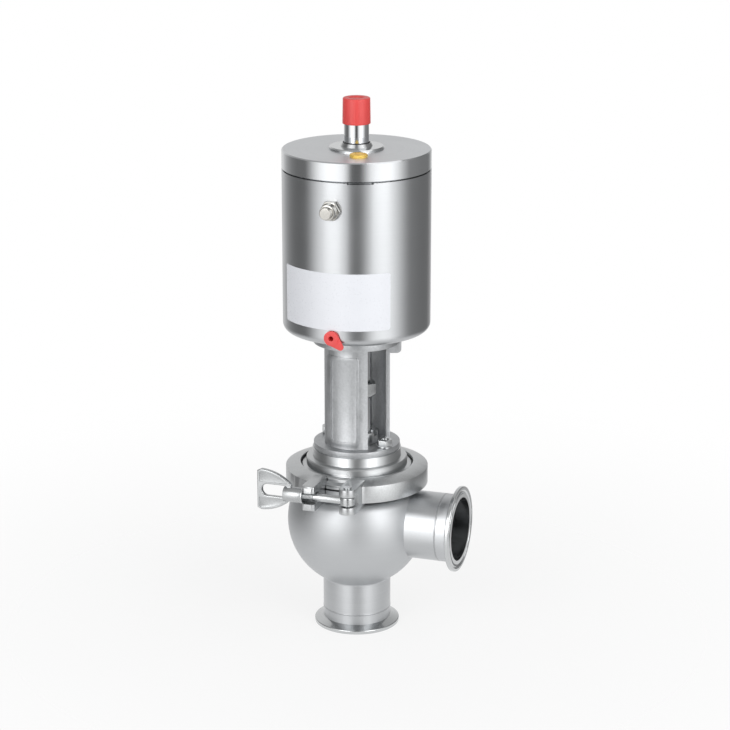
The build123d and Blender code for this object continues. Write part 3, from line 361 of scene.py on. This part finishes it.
def sintered_bronze():
    """Bronze balls of about half a millimetre, sintered: each grain pale on its crown, with painted shade
    darkening it towards the pores between.
    """
    material, tree, shader, place = start_material("Bronze, sintered", Metallic=0.8, Roughness=0.6)
    grains = add(tree, "ShaderNodeTexVoronoi", Vector=place, Scale=1.0 / (0.6 * MM)).outputs["Distance"]
    # The ramp paints shade: pale yellow on each grain's crown, deeper yellow towards the pores, where the bump
    # sinks too
    colour = add(tree, "ShaderNodeValToRGB", Fac=grains)
    set_stops(colour, ((0.15, linear("#FFE991")), (0.7, linear("#EAC25A"))))
    tree.links.new(colour.outputs["Color"], shader.inputs["Base Color"])
    upside = add(tree, "ShaderNodeMath", {"operation": "SUBTRACT"}, i0=1.0, i1=grains)
    bump = add(tree, "ShaderNodeBump", Strength=0.6, Distance=0.12 * MM, Height=upside.outputs[0])
    tree.links.new(bump.outputs[0], shader.inputs["Normal"])
    return material


# Pieces


def only(piece):
    """Select one object alone and make it the active one."""
    bpy.ops.object.select_all(action="DESELECT")
    bpy.context.view_layer.objects.active = piece
    piece.select_set(True)


def apply_modifier(piece, kind, **settings):
    """Give a piece a modifier and apply it."""
    only(piece)
    modifier = piece.modifiers.new(kind.title(), kind)
    for name, value in settings.items():
        setattr(modifier, name, value)
    bpy.ops.object.modifier_apply(modifier=modifier.name)


def settle(piece):
    """Put a finished piece's place into its mesh, with its object at the origin."""
    only(piece)
    bpy.ops.object.transform_apply(location=True, rotation=True, scale=True)
    bpy.ops.object.mode_set(mode="EDIT")
    bpy.ops.mesh.select_all(action="SELECT")
    bpy.ops.mesh.remove_doubles(threshold=0.001 * MM)
    bpy.ops.mesh.normals_make_consistent(inside=False)
    bpy.ops.object.mode_set(mode="OBJECT")


def finish_piece(piece, name, body, material, angle=35.0, replaced=()):
    """Name a piece, smooth it, give it its material and tie it to its body."""
    piece.name = name
    piece.data.name = name
    only(piece)
    bpy.ops.object.shade_smooth_by_angle(angle=radians(angle))
    piece.data.materials.clear()
    piece.data.materials.append(material)
    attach(piece, body)
    if replaced:
        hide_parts(*replaced)
    return piece


def merged_copy(node, name):
    """A copy of a node's mesh with its loose triangles joined into one skin."""
    piece = bpy.data.objects.new(name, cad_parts[node].data.copy())
    bpy.context.scene.collection.objects.link(piece)
    only(piece)
    bpy.ops.mesh.customdata_custom_splitnormals_clear()
    bpy.ops.object.mode_set(mode="EDIT")
    bpy.ops.mesh.select_all(action="SELECT")
    bpy.ops.mesh.remove_doubles(threshold=0.002 * MM)
    bpy.ops.mesh.dissolve_limited(angle_limit=radians(0.4))
    bpy.ops.mesh.normals_make_consistent(inside=False)
    bpy.ops.object.mode_set(mode="OBJECT")
    return piece


def eased(node, name, width, material, body="valve_body", segments=2):
    """A node's own shape with its sharp edges broken, as the real casting or machined part has them."""
    piece = merged_copy(node, name)
    sharp = radians(30)
    apply_modifier(piece, "BEVEL", width=width, segments=segments, limit_method="ANGLE", angle_limit=sharp)
    bpy.ops.object.mode_set(mode="EDIT")
    bpy.ops.mesh.select_all(action="SELECT")
    bpy.ops.mesh.remove_doubles(threshold=0.0005 * MM)
    bpy.ops.mesh.fill_holes(sides=0)
    bpy.ops.object.mode_set(mode="OBJECT")
    return finish_piece(piece, name, body, material, replaced=(node,))


def dress(material, *nodes):
    """Give CAD nodes their material."""
    for node in nodes:
        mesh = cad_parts[node].data
        mesh.materials.clear()
        mesh.materials.append(material)


def spun(name, profile, centre, axis, steps):
    """A profile of (radius, distance along the axis) corners, spun about an axis through centre."""
    side = axis.orthogonal().normalized()
    corners = [centre + side * radius + axis * distance for radius, distance in profile]
    edges = [(i, i + 1) for i in range(len(corners) - 1)]
    hollow = profile[0][0] > 0.0
    if hollow:
        edges.append((len(corners) - 1, 0))
    mesh = bpy.data.meshes.new(name)
    mesh.from_pydata(corners, edges, [])
    piece = bpy.data.objects.new(name, mesh)
    bpy.context.scene.collection.objects.link(piece)
    only(piece)
    bpy.ops.object.mode_set(mode="EDIT")
    bpy.ops.mesh.select_all(action="SELECT")
    bpy.ops.mesh.spin(steps=steps, angle=2 * pi, center=centre, axis=axis)
    bpy.ops.object.mode_set(mode="OBJECT")
    settle(piece)
    return piece


def threaded_rod(name, start, axis, length, radius, pitch):
    """A rod turned smooth, then threaded: its skin is pressed in along a helix that fades at both ends."""
    # Six rings of points to a turn, and an end as narrow as the thread's foot
    rings = round(6 * length / pitch)
    end = 0.8 * radius
    skin = [(radius, length * ring / rings) for ring in range(1, rings)]
    rod = spun(name, [(0.0, 0.0), (end, 0.0), *skin, (end, length), (0.0, length)], start, axis, steps=36)
    side = axis.orthogonal().normalized()
    other = axis.cross(side)
    depth = 0.55 * pitch
    for vertex in rod.data.vertices:
        from_start = vertex.co - start
        distance = from_start.dot(axis)
        out = from_start - axis * distance
        on_skin = out.length > 0.9 * radius
        if on_skin:
            turn = atan2(out.dot(other), out.dot(side)) / (2 * pi)
            groove = 1.0 - abs(2.0 * ((distance / pitch - turn) % 1.0) - 1.0)
            fade = min(1.0, distance / pitch, (length - distance) / pitch)
            vertex.co -= out.normalized() * depth * groove * fade
    return rod


class ANGLEVALVE_OT_body(bpy.types.Operator):
    """Satin body with polished ports, their weld beads and the plain gasket line"""

    bl_idname = "angle_valve.body"
    bl_label = "Body and ports"

    def execute(self, context):
        # Stainless steel, vibration-polished to a soft satin: broad quiet highlights on the ball
        satin = lathe_steel(
            "Stainless steel, satin polished", linear("#C2C4C6"), 0.48, 1.4 * MM, 0.004 * MM, haze=0.05
        )
        # Stainless steel tube end, mirror-buffed on the lathe: crisp bright rim
        rim = {"tint": linear("#CDCFD0"), "rough": 0.16, "line": 0.8 * MM, "depth": 0.006 * MM}
        buffed = lathe_steel("Stainless steel, lathe buffed", **rim)
        # The side port's rim is buffed about its own axis, which lies along x
        rim["centre"] = tuple(mid("side_ferrule"))
        rim["tilt"] = (0.0, radians(90), 0.0)
        buffed_side = lathe_steel("Stainless steel, lathe buffed, side port", **rim)
        # The same steel on the welded tubes, belt-polished: crisper bands than on the ball
        belt = lathe_steel(
            "Stainless steel, belt polished", linear("#C6C8CA"), 0.34, 1.0 * MM, 0.004 * MM, stretch=0.8
        )
        dress(satin, "body_shell")
        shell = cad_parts["body_shell"].data
        shell.materials.append(belt)
        for face in shell.polygons:
            on_tube = face.center.x > SIDE_TUBE_START or face.center.z < BOTTOM_TUBE_TOP
            face.material_index = int(on_tube)
        dress(buffed, "bottom_ferrule")
        dress(buffed_side, "side_ferrule")
        self.polish_necks(belt)
        self.weld_beads()
        # EPDM rubber, pressed: dull near-black line between the flanges
        gasket = soft_material("EPDM rubber, moulded", linear("#26272A"), 0.55, 0.5 * MM, 0.02 * MM)
        dress(gasket, "body_gasket")
        return {"FINISHED"}

    def polish_necks(self, belt):
        """Carry the tubes' finish over the ferrules' necks, up to the cone of each rim."""
        axis_height = mid("side_ferrule").z
        for node in ("side_ferrule", "bottom_ferrule"):
            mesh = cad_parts[node].data
            mesh.materials.append(belt)
            for face in mesh.polygons:
                if node == "side_ferrule":
                    off_axis = Vector((face.center.y, face.center.z - axis_height)).length
                    outward = face.normal.yz.length
                else:
                    off_axis = face.center.xy.length
                    outward = face.normal.xy.length
                on_skin = TUBE_RADIUS - 0.4 * MM < off_axis < TUBE_RADIUS + 0.2 * MM
                face.material_index = int(on_skin and outward > 0.99)

    def weld_beads(self):
        """Thin rippled weld beads where each ferrule is welded to its tube."""
        # Stainless filler, left as welded and brushed once: a little duller than the tubes
        filler = cast_steel("Stainless steel, weld bead", linear("#B4B6B8"), 0.34, 0.8 * MM, 0.02 * MM)
        crown = TUBE_RADIUS + 0.12 * MM
        shoulder = TUBE_RADIUS + 0.07 * MM
        foot = TUBE_RADIUS - 0.1 * MM
        half = 0.8 * MM
        profile = [(foot, -half), (shoulder, -0.5 * half), (crown, 0.0), (shoulder, 0.5 * half), (foot, half)]
        # Real ripples are about 1 mm apart, too fine to show here, so one is drawn about every 4 mm
        ripples = 40
        sway = 0.08 * MM
        low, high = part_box("side_ferrule")
        for name, centre, axis in (
            ("side_weld_bead", Vector((low.x, 0.0, (low.z + high.z) / 2)), Vector((1.0, 0.0, 0.0))),
            ("bottom_weld_bead", Vector((0.0, 0.0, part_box("bottom_ferrule")[1].z)), Vector((0.0, 0.0, 1.0))),
        ):
            bead = spun(name, profile, centre, axis, steps=160)
            side = axis.orthogonal().normalized()
            other = axis.cross(side)
            for vertex in bead.data.vertices:
                from_centre = vertex.co - centre
                turn = atan2(from_centre.dot(other), from_centre.dot(side))
                vertex.co += axis * sway * sin(ripples * turn)
            finish_piece(bead, name, "valve_body", filler, angle=60.0)


class ANGLEVALVE_OT_bonnet(bpy.types.Operator):
    """Turned bonnet, gland nut and plug, and the cast yoke"""

    bl_idname = "angle_valve.bonnet"
    bl_label = "Bonnet and yoke"

    def execute(self, context):
        steel = context.scene.angle_valve_steel
        # Stainless bar, finish-turned: fine rings catch the light on every step
        turned = lathe_steel("Stainless steel, turned", linear("#C6C8C9"), 0.28, 1.5 * MM, 0.25 * MM)
        eased("bonnet", "turned_bonnet", 0.3 * MM, turned)
        eased("gland_nut", "slotted_gland", 0.25 * MM, turned)
        dress(turned, "valve_plug", "seal_retainer")
        # Stainless investment casting, glass-blasted: matt, even, faintly grained
        cast = cast_steel("Stainless steel, cast and blasted", steel.cast_tint, 0.44, 1.7 * MM, 0.3 * MM)
        eased("yoke", "cast_yoke", 0.25 * MM, cast)
        return {"FINISHED"}


class ANGLEVALVE_OT_fasteners(bpy.types.Operator):
    """Studs, nuts, washers and screws"""

    bl_idname = "angle_valve.fasteners"
    bl_label = "Fasteners"

    def execute(self, context):
        # Stainless fastener, cold-formed and tumbled: brighter than the castings, with soft edges
        bright = cast_steel("Stainless steel, tumbled fastener", linear("#CACCCD"), 0.24, 0.7 * MM, 0.01 * MM)
        eased("yoke_nuts", "hexagon_nuts", 0.4 * MM, bright)
        eased("yoke_washers", "plain_washers", 0.2 * MM, bright)
        eased("lock_nut", "stem_lock_nut", 0.3 * MM, bright, body="stem_group")
        dress(bright, "cylinder_screws", "retainer_screw", "piston_nut", "retaining_wire")
        self.studs(context.scene.angle_valve_steel.thread_pitch, bright)
        return {"FINISHED"}

    def studs(self, pitch, bright):
        """The yoke's two threaded studs, modelled once and copied to the far side."""
        low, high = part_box("yoke_studs")
        foot = Vector((high.x - THREAD_RADIUS, THREAD_RADIUS - high.y, low.z))
        upwards = Vector((0.0, 0.0, 1.0))
        near = threaded_rod("near_stud", foot, upwards, high.z - low.z, THREAD_RADIUS, pitch)
        far = bpy.data.objects.new("far_stud", near.data.copy())
        bpy.context.scene.collection.objects.link(far)
        only(far)
        bpy.ops.transform.rotate(value=pi, orient_axis="Z", center_override=(0.0, 0.0, 0.0))
        bpy.ops.object.transform_apply(location=True, rotation=True, scale=True)
        only(near)
        far.select_set(True)
        bpy.ops.object.join()
        finish_piece(near, "threaded_studs", "valve_body", bright, replaced=("yoke_studs",))


class ANGLEVALVE_OT_actuator(bpy.types.Operator):
    """Brushed cylinder with its cover, vent, seals and port fitting"""

    bl_idname = "angle_valve.actuator"
    bl_label = "Actuator"

    def execute(self, context):
        steel = context.scene.angle_valve_steel
        # Stainless tube, belt-brushed round: upright soft bands of light, blurred along the axis
        brushed = lathe_steel(
            "Stainless steel, brushed round",
            steel.cylinder_tint,
            0.3,
            steel.line_spacing,
            0.004 * MM,
            haze=0.06,
            stretch=0.6,
        )
        # Stainless cover, face-turned finer than the tube: same bands, a little crisper
        fine = lathe_steel(
            "Stainless steel, face turned", linear("#D6D8DA"), 0.15, 0.8 * MM, 0.003 * MM, haze=0.05
        )
        dress(brushed, "actuator_cylinder")
        dress(fine, "top_cover")
        # The cover's upper face, turned with a broad tool: a matt sheen that mirrors nothing
        matt = lathe_steel("Stainless steel, matt turned", linear("#D6D8DA"), 0.4, 1.1 * MM, 0.012 * MM)
        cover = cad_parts["top_cover"].data
        cover.materials.append(matt)
        for face in cover.polygons:
            faces_up = face.normal.z > 0.9
            face.material_index = int(faces_up)
        # Sintered bronze: small round grains, warm yellow, with painted shade in the pores between them
        dress(sintered_bronze(), "breather_vent")
        # Nitrile rubber lips and rings, moulded: dull black
        rubber = soft_material("Nitrile rubber, moulded", linear("#202124"), 0.5, 0.5 * MM, 0.02 * MM)
        dress(rubber, "rod_wiper", "rod_seal", "piston_seal", "cover_o_ring", "stem_seal", "plug_seal")
        # Brass, nickel-plated after turning: silvery with a warm cast
        plated = lathe_steel(
            "Brass, nickel plated",
            linear("#B8B6B1"),
            0.17,
            0.6 * MM,
            0.01 * MM,
            centre=tuple(mid("upper_port_fitting")),
            tilt=(radians(90), 0.0, 0.0),
        )
        eased("upper_port_fitting", "air_port_fitting", 0.3 * MM, plated)
        return {"FINISHED"}


class ANGLEVALVE_OT_rod(bpy.types.Operator):
    """Chromed rod and stem with their guide, bushes, piston and spring"""

    bl_idname = "angle_valve.rod"
    bl_label = "Rod and piston"

    def execute(self, context):
        # Hard chrome, ground and polished: a mirror with the faintest grinding rings
        chrome = lathe_steel(
            "Hard chrome, polished", linear("#D9DBDD"), 0.07, 0.6 * MM, 0.001 * MM, haze=0.04
        )
        dress(chrome, "piston_rod", "valve_stem")
        # The guide is stainless bar, polished on the lathe: nearly as bright as the rod, a little softer
        guide = lathe_steel("Stainless steel, lathe polished", linear("#D3D5D6"), 0.12, 0.7 * MM, 0.002 * MM)
        dress(guide, "rod_guide")
        # Aluminium, turned: pale and softly ringed
        aluminium = lathe_steel("Aluminium, turned", linear("#D6D7DA"), 0.34, 0.7 * MM, 0.012 * MM)
        dress(aluminium, "piston")
        # Spring steel, oil-tempered: dark wire with a dull shine
        spring = cast_steel("Spring steel, oil tempered", linear("#5B5D61"), 0.36, 1.1 * MM, 0.02 * MM)
        coil = merged_copy("actuator_spring", "coil_spring")
        finish_piece(coil, "coil_spring", "valve_body", spring, replaced=("actuator_spring",))
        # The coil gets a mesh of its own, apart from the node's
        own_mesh(coil)
        # Filled PTFE, turned: waxy off-white bearing rings
        bearing = soft_material("PTFE, filled and turned", linear("#D8D2C2"), 0.42, 0.6 * MM, 0.01 * MM)
        dress(bearing, "rod_bush", "stem_bush", "piston_guide_ring")
        return {"FINISHED"}


class ANGLEVALVE_OT_plastics(bpy.types.Operator):
    """Red rod cap and dust plug"""

    bl_idname = "angle_valve.plastics"
    bl_label = "Cap and plug"

    def execute(self, context):
        red = context.scene.angle_valve_plastic.cap_red
        # Soft PVC, dip-moulded: a salmon red with a slight skin gloss
        skin = soft_material("PVC, moulded soft", red, 0.42, 0.8 * MM, 0.03 * MM, haze=0.1)
        eased("rod_cap", "soft_rod_cap", 0.3 * MM, skin, body="cap")
        eased("inlet_plug", "soft_dust_plug", 0.35 * MM, skin, body="dust_plug", segments=3)
        return {"FINISHED"}


class ANGLEVALVE_OT_clamp(bpy.types.Operator):
    """Cast clamp with its eye bolt, washer and wing nut"""

    bl_idname = "angle_valve.clamp"
    bl_label = "Clamp"

    def execute(self, context):
        # Stainless investment casting, tumble-polished: soft shine over a slightly uneven skin
        cast = cast_steel("Stainless steel, cast and tumbled", linear("#CDCFD0"), 0.34, 1.2 * MM, 0.03 * MM)
        eased("clamp_half_fixed", "cast_clamp_right", 0.4 * MM, cast)
        eased("clamp_half_swinging", "cast_clamp_left", 0.4 * MM, cast, body="swinging_half")
        bright = bpy.data.materials["Stainless steel, tumbled fastener"]
        dress(bright, "clamp_hinge_pin", "bolt_pin")
        eased("nut_washer", "bolt_washer", 0.2 * MM, bright, body="washer")
        self.swing_bolt(context.scene.angle_valve_steel.thread_pitch, bright)
        # The same casting, polished further by hand: brightest on the wings
        wing = cast_steel("Stainless steel, cast wing", linear("#BFC1C2"), 0.28, 1.2 * MM, 0.05 * MM)
        eased("wing_nut", "cast_wing_nut", 0.3 * MM, wing, body="wing")
        return {"FINISHED"}

    def swing_bolt(self, pitch, bright):
        """The eye bolt, its plain end cut off where the thread starts and a threaded end joined on."""
        bolt = eased("eye_bolt", "swing_eye_bolt", 0.2 * MM, bright, body="swing_bolt")
        middle = mid("eye_bolt")
        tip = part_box("eye_bolt")[0].x
        start = Vector((THREAD_START, middle.y, middle.z))
        only(bolt)
        bpy.ops.object.mode_set(mode="EDIT")
        bpy.ops.mesh.select_all(action="SELECT")
        bpy.ops.mesh.bisect(plane_co=start, plane_no=(1.0, 0.0, 0.0), clear_inner=True, use_fill=True)
        bpy.ops.object.mode_set(mode="OBJECT")
        outwards = Vector((-1.0, 0.0, 0.0))
        thread = threaded_rod("bolt_thread", start, outwards, start.x - tip, THREAD_RADIUS, pitch)
        thread.data.materials.append(bright)
        only(bolt)
        thread.select_set(True)
        bpy.ops.object.join()
        bpy.ops.object.shade_smooth_by_angle(angle=radians(35))


class ANGLEVALVE_OT_label(bpy.types.Operator):
    """Bare label on the front of the cylinder"""

    bl_idname = "angle_valve.label"
    bl_label = "Label"

    def execute(self, context):
        size = context.scene.angle_valve_label
        # Its back stands 0.02 mm off the cylinder, which is as wide as the cover
        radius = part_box("top_cover")[1].x + 0.02 * MM
        width = radius * (size.end - size.start)
        middle = (size.start + size.end) / 2
        height = (size.high + size.low) / 2
        # Modelled flat, cut into strips, thickened, then stood up and wrapped round the cylinder
        strips = 60
        bpy.ops.object.select_all(action="DESELECT")
        bpy.ops.mesh.primitive_plane_add(size=1.0, location=(0.0, 0.0, 0.0))
        plate = bpy.context.active_object
        plate.scale = (width, size.high - size.low, 1.0)
        bpy.ops.object.transform_apply(location=False, rotation=False, scale=True)
        bpy.ops.object.mode_set(mode="EDIT")
        bpy.ops.mesh.select_all(action="SELECT")
        bpy.ops.mesh.bevel(offset=size.corner, segments=6, affect="VERTICES")
        for strip in range(1, strips):
            cut = (width * (strip / strips - 0.5), 0.0, 0.0)
            bpy.ops.mesh.select_all(action="SELECT")
            bpy.ops.mesh.bisect(plane_co=cut, plane_no=(1.0, 0.0, 0.0))
        bpy.ops.object.mode_set(mode="OBJECT")
        apply_modifier(plate, "SOLIDIFY", thickness=size.film, offset=1.0)
        edge = size.film * 0.3
        apply_modifier(plate, "BEVEL", width=edge, segments=1, limit_method="ANGLE", angle_limit=radians(40))
        plate.rotation_euler = (radians(90), 0.0, 0.0)
        bpy.ops.object.transform_apply(location=False, rotation=True, scale=False)
        for vertex in plate.data.vertices:
            x, y, z = vertex.co
            reach = radius - y
            azimuth = x / radius + middle
            vertex.co = (reach * sin(azimuth), -reach * cos(azimuth), z + height)
        settle(plate)
        # Polyester film, pale grey: smooth, with a thin satin skin
        film = soft_material("Polyester film, satin", size.paper, 0.3, 1.5 * MM, 0.01 * MM, haze=0.04)
        finish_piece(plate, "bare_label", "valve_body", film)
        return {"FINISHED"}


class ANGLEVALVE_OT_stage(bpy.types.Operator):
    """Pale floor, soft studio light and the camera"""

    bl_idname = "angle_valve.stage"
    bl_label = "Studio"

    def execute(self, context):
        studio = context.scene.angle_valve_studio
        self.floor(studio)
        self.world(context, studio)
        self.lamps(studio)
        self.camera(context, studio)
        context.scene.view_settings.view_transform = "Standard"
        return {"FINISHED"}

    def floor(self, studio):
        """A round pale floor whose rim fades into the background."""
        bpy.ops.object.select_all(action="DESELECT")
        bpy.ops.mesh.primitive_circle_add(vertices=96, radius=1.6, fill_type="NGON")
        floor = bpy.context.active_object
        floor.name = "floor"
        # White paper, matt: it takes a soft shadow and mirrors nothing
        material, tree, shader, place = start_material("Paper, matt white", Roughness=0.75)
        shader.inputs["Base Color"].default_value = studio.floor_tint
        # Camera and metal see most of it as plain white, and the rest keeps the shadow
        white_share = 0.8
        path = add(tree, "ShaderNodeLightPath")
        seen = add(
            tree,
            "ShaderNodeMath",
            {"operation": "MAXIMUM"},
            i0=path.outputs["Is Camera Ray"],
            i1=path.outputs["Is Glossy Ray"],
        )
        lift = add(tree, "ShaderNodeMath", {"operation": "MULTIPLY"}, i0=seen.outputs[0], i1=white_share)
        glow = add(tree, "ShaderNodeEmission", Strength=1.0).outputs[0]
        paper = add(tree, "ShaderNodeMixShader", Fac=lift.outputs[0], i1=shader.outputs[0], i2=glow)
        # It is solid under the valve, and gone at 0.6 m
        reach = add(tree, "ShaderNodeVectorMath", {"operation": "LENGTH"}, i0=place).outputs["Value"]
        fade = add(
            tree,
            "ShaderNodeMapRange",
            {"interpolation_type": "SMOOTHSTEP"},
            Value=reach,
            From_Min=0.05,
            From_Max=0.6,
            To_Min=1.0,
            To_Max=0.0,
        ).outputs["Result"]
        clear = add(tree, "ShaderNodeBsdfTransparent")
        shown = add(tree, "ShaderNodeMixShader", Fac=fade, i1=clear.outputs[0], i2=paper.outputs[0])
        tree.links.new(shown.outputs[0], tree.nodes["Output"].inputs["Surface"])
        floor.data.materials.append(material)

    def world(self, context, studio):
        """Two broad softboxes in front, dark flags beside and a pale wall behind, as bands of light."""
        world = bpy.data.worlds.new("Studio")
        context.scene.world = world
        world.use_nodes = True
        tree = world.node_tree
        tree.nodes.clear()
        look = add(tree, "ShaderNodeTexCoord").outputs["Generated"]
        parts = add(tree, "ShaderNodeSeparateXYZ", Vector=look)
        # The azimuth of the look, from the camera's side, as a share of a full turn
        right, away, height = parts.outputs
        near = add(tree, "ShaderNodeMath", {"operation": "MULTIPLY"}, i0=away, i1=-1.0).outputs[0]
        azimuth = add(tree, "ShaderNodeMath", {"operation": "ARCTAN2"}, i0=right, i1=near).outputs[0]
        turn = add(tree, "ShaderNodeMath", {"operation": "SUBTRACT"}, i0=azimuth, i1=studio.azimuth)
        per_turn = 0.5 / pi
        share = add(
            tree, "ShaderNodeMath", {"operation": "MULTIPLY_ADD"}, i0=turn.outputs[0], i1=per_turn, i2=0.5
        )
        wrapped = add(tree, "ShaderNodeMath", {"operation": "FRACT"}, i0=share.outputs[0])
        bands = add(tree, "ShaderNodeValToRGB", Fac=wrapped.outputs[0])
        set_stops(bands, [((degrees + 180) / 360, grey(level)) for degrees, level in STUDIO_BANDS])
        # A pale ground below the bands, and a dimmer ceiling above them
        smooth = {"interpolation_type": "SMOOTHSTEP"}
        colours = {"data_type": "RGBA"}
        above_ground = add(tree, "ShaderNodeMapRange", smooth, Value=height, From_Min=-0.75, From_Max=-0.45)
        lower = add(
            tree,
            "ShaderNodeMix",
            colours,
            i0=above_ground.outputs["Result"],
            i6=grey(0.64),
            i7=bands.outputs["Color"],
        )
        in_ceiling = add(tree, "ShaderNodeMapRange", smooth, Value=height, From_Min=0.5, From_Max=0.9)
        light = add(
            tree,
            "ShaderNodeMix",
            colours,
            i0=in_ceiling.outputs["Result"],
            i6=lower.outputs[2],
            i7=grey(0.36),
        ).outputs[2]
        studio_light = add(tree, "ShaderNodeBackground", Color=light, Strength=1.5)
        white = add(tree, "ShaderNodeBackground", Color=grey(1.0), Strength=1.0)
        camera_ray = add(tree, "ShaderNodeLightPath").outputs["Is Camera Ray"]
        seen = add(
            tree, "ShaderNodeMixShader", Fac=camera_ray, i1=studio_light.outputs[0], i2=white.outputs[0]
        )
        add(tree, "ShaderNodeOutputWorld", Surface=seen.outputs[0])

    def lamps(self, studio):
        """Two large soft lamps from the front and one from above, in degrees, metres and watts."""
        for name, turn, rise, reach, width, height, power in (
            ("left_softbox", -34, 20, 1.6, 0.75, 1.2, 6.2),
            ("right_softbox", 38, 20, 1.6, 0.75, 1.2, 6.2),
            ("top_softbox", 75, 62, 1.7, 1.0, 1.0, 2.5),
        ):
            lamp = bpy.data.lights.new(name, "AREA")
            lamp.shape = "RECTANGLE"
            lamp.size = width
            lamp.size_y = height
            lamp.energy = power
            stand = bpy.data.objects.new(name, lamp)
            bpy.context.scene.collection.objects.link(stand)
            azimuth = studio.azimuth + radians(turn)
            flat = reach * cos(radians(rise))
            stand.location = (
                flat * sin(azimuth),
                -flat * cos(azimuth),
                studio.aim_height + reach * sin(radians(rise)),
            )
            towards = Vector((0.0, 0.0, studio.aim_height)) - stand.location
            stand.rotation_euler = towards.to_track_quat("-Z", "Y").to_euler()

    def camera(self, context, studio):
        """The photograph's view, its lens fitted to the photograph's frame of 730 by 730 pixels."""
        camera = bpy.data.cameras.new("photo_camera")
        camera.sensor_width = SENSOR
        camera.lens = SENSOR * FOCAL_PIXELS / FRAME_PIXELS
        camera.clip_start = 0.05
        holder = bpy.data.objects.new("photo_camera", camera)
        context.scene.collection.objects.link(holder)
        right = Vector((cos(studio.azimuth), sin(studio.azimuth), 0.0))
        flat = studio.distance * cos(studio.pitch)
        aim = Vector((0.0, 0.0, studio.aim_height))
        rise = studio.distance * sin(studio.pitch)
        back = Vector((flat * sin(studio.azimuth), -flat * cos(studio.azimuth), rise))
        holder.location = aim + back + right * studio.aim_side
        holder.rotation_euler = (pi / 2 - studio.pitch, 0.0, studio.azimuth)
        context.scene.camera = holder


class ANGLEVALVE_PT_panel(bpy.types.Panel):
    """Lists the valve's settings and steps"""

    bl_label = "Angle seat valve"
    bl_idname = "ANGLEVALVE_PT_panel"
    bl_space_type = "VIEW_3D"
    bl_region_type = "UI"
    bl_category = "Angle valve"

    def draw(self, context):
        layout = self.layout
        for group, _ in GROUPS:
            settings = getattr(context.scene, group)
            box = layout.box()
            for name in settings.__annotations__:
                box.prop(settings, name)
        for operator in OPERATORS:
            layout.operator(operator.bl_idname)


GROUPS = (
    ("angle_valve_steel", AngleValveSteel),
    ("angle_valve_plastic", AngleValvePlastic),
    ("angle_valve_label", AngleValveLabel),
    ("angle_valve_studio", AngleValveStudio),
)
OPERATORS = (
    ANGLEVALVE_OT_body,
    ANGLEVALVE_OT_bonnet,
    ANGLEVALVE_OT_fasteners,
    ANGLEVALVE_OT_actuator,
    ANGLEVALVE_OT_rod,
    ANGLEVALVE_OT_plastics,
    ANGLEVALVE_OT_clamp,
    ANGLEVALVE_OT_label,
    ANGLEVALVE_OT_stage,
)


def register():
    """Make the settings, the steps and the panel known to Blender."""
    for name, group in GROUPS:
        bpy.utils.register_class(group)
        setattr(bpy.types.Scene, name, bpy.props.PointerProperty(type=group))
    for operator in OPERATORS:
        bpy.utils.register_class(operator)
    bpy.utils.register_class(ANGLEVALVE_PT_panel)


def unregister():
    """Take them out again."""
    bpy.utils.unregister_class(ANGLEVALVE_PT_panel)
    for operator in reversed(OPERATORS):
        bpy.utils.unregister_class(operator)
    for name, group in reversed(GROUPS):
        delattr(bpy.types.Scene, name)
        bpy.utils.unregister_class(group)


def main():
    """Register the add-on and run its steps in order."""
    register()
    bpy.ops.angle_valve.body()
    bpy.ops.angle_valve.bonnet()
    bpy.ops.angle_valve.fasteners()
    bpy.ops.angle_valve.actuator()
    bpy.ops.angle_valve.rod()
    bpy.ops.angle_valve.plastics()
    bpy.ops.angle_valve.clamp()
    bpy.ops.angle_valve.label()
    bpy.ops.angle_valve.stage()


if __name__ == "__main__":
    main()
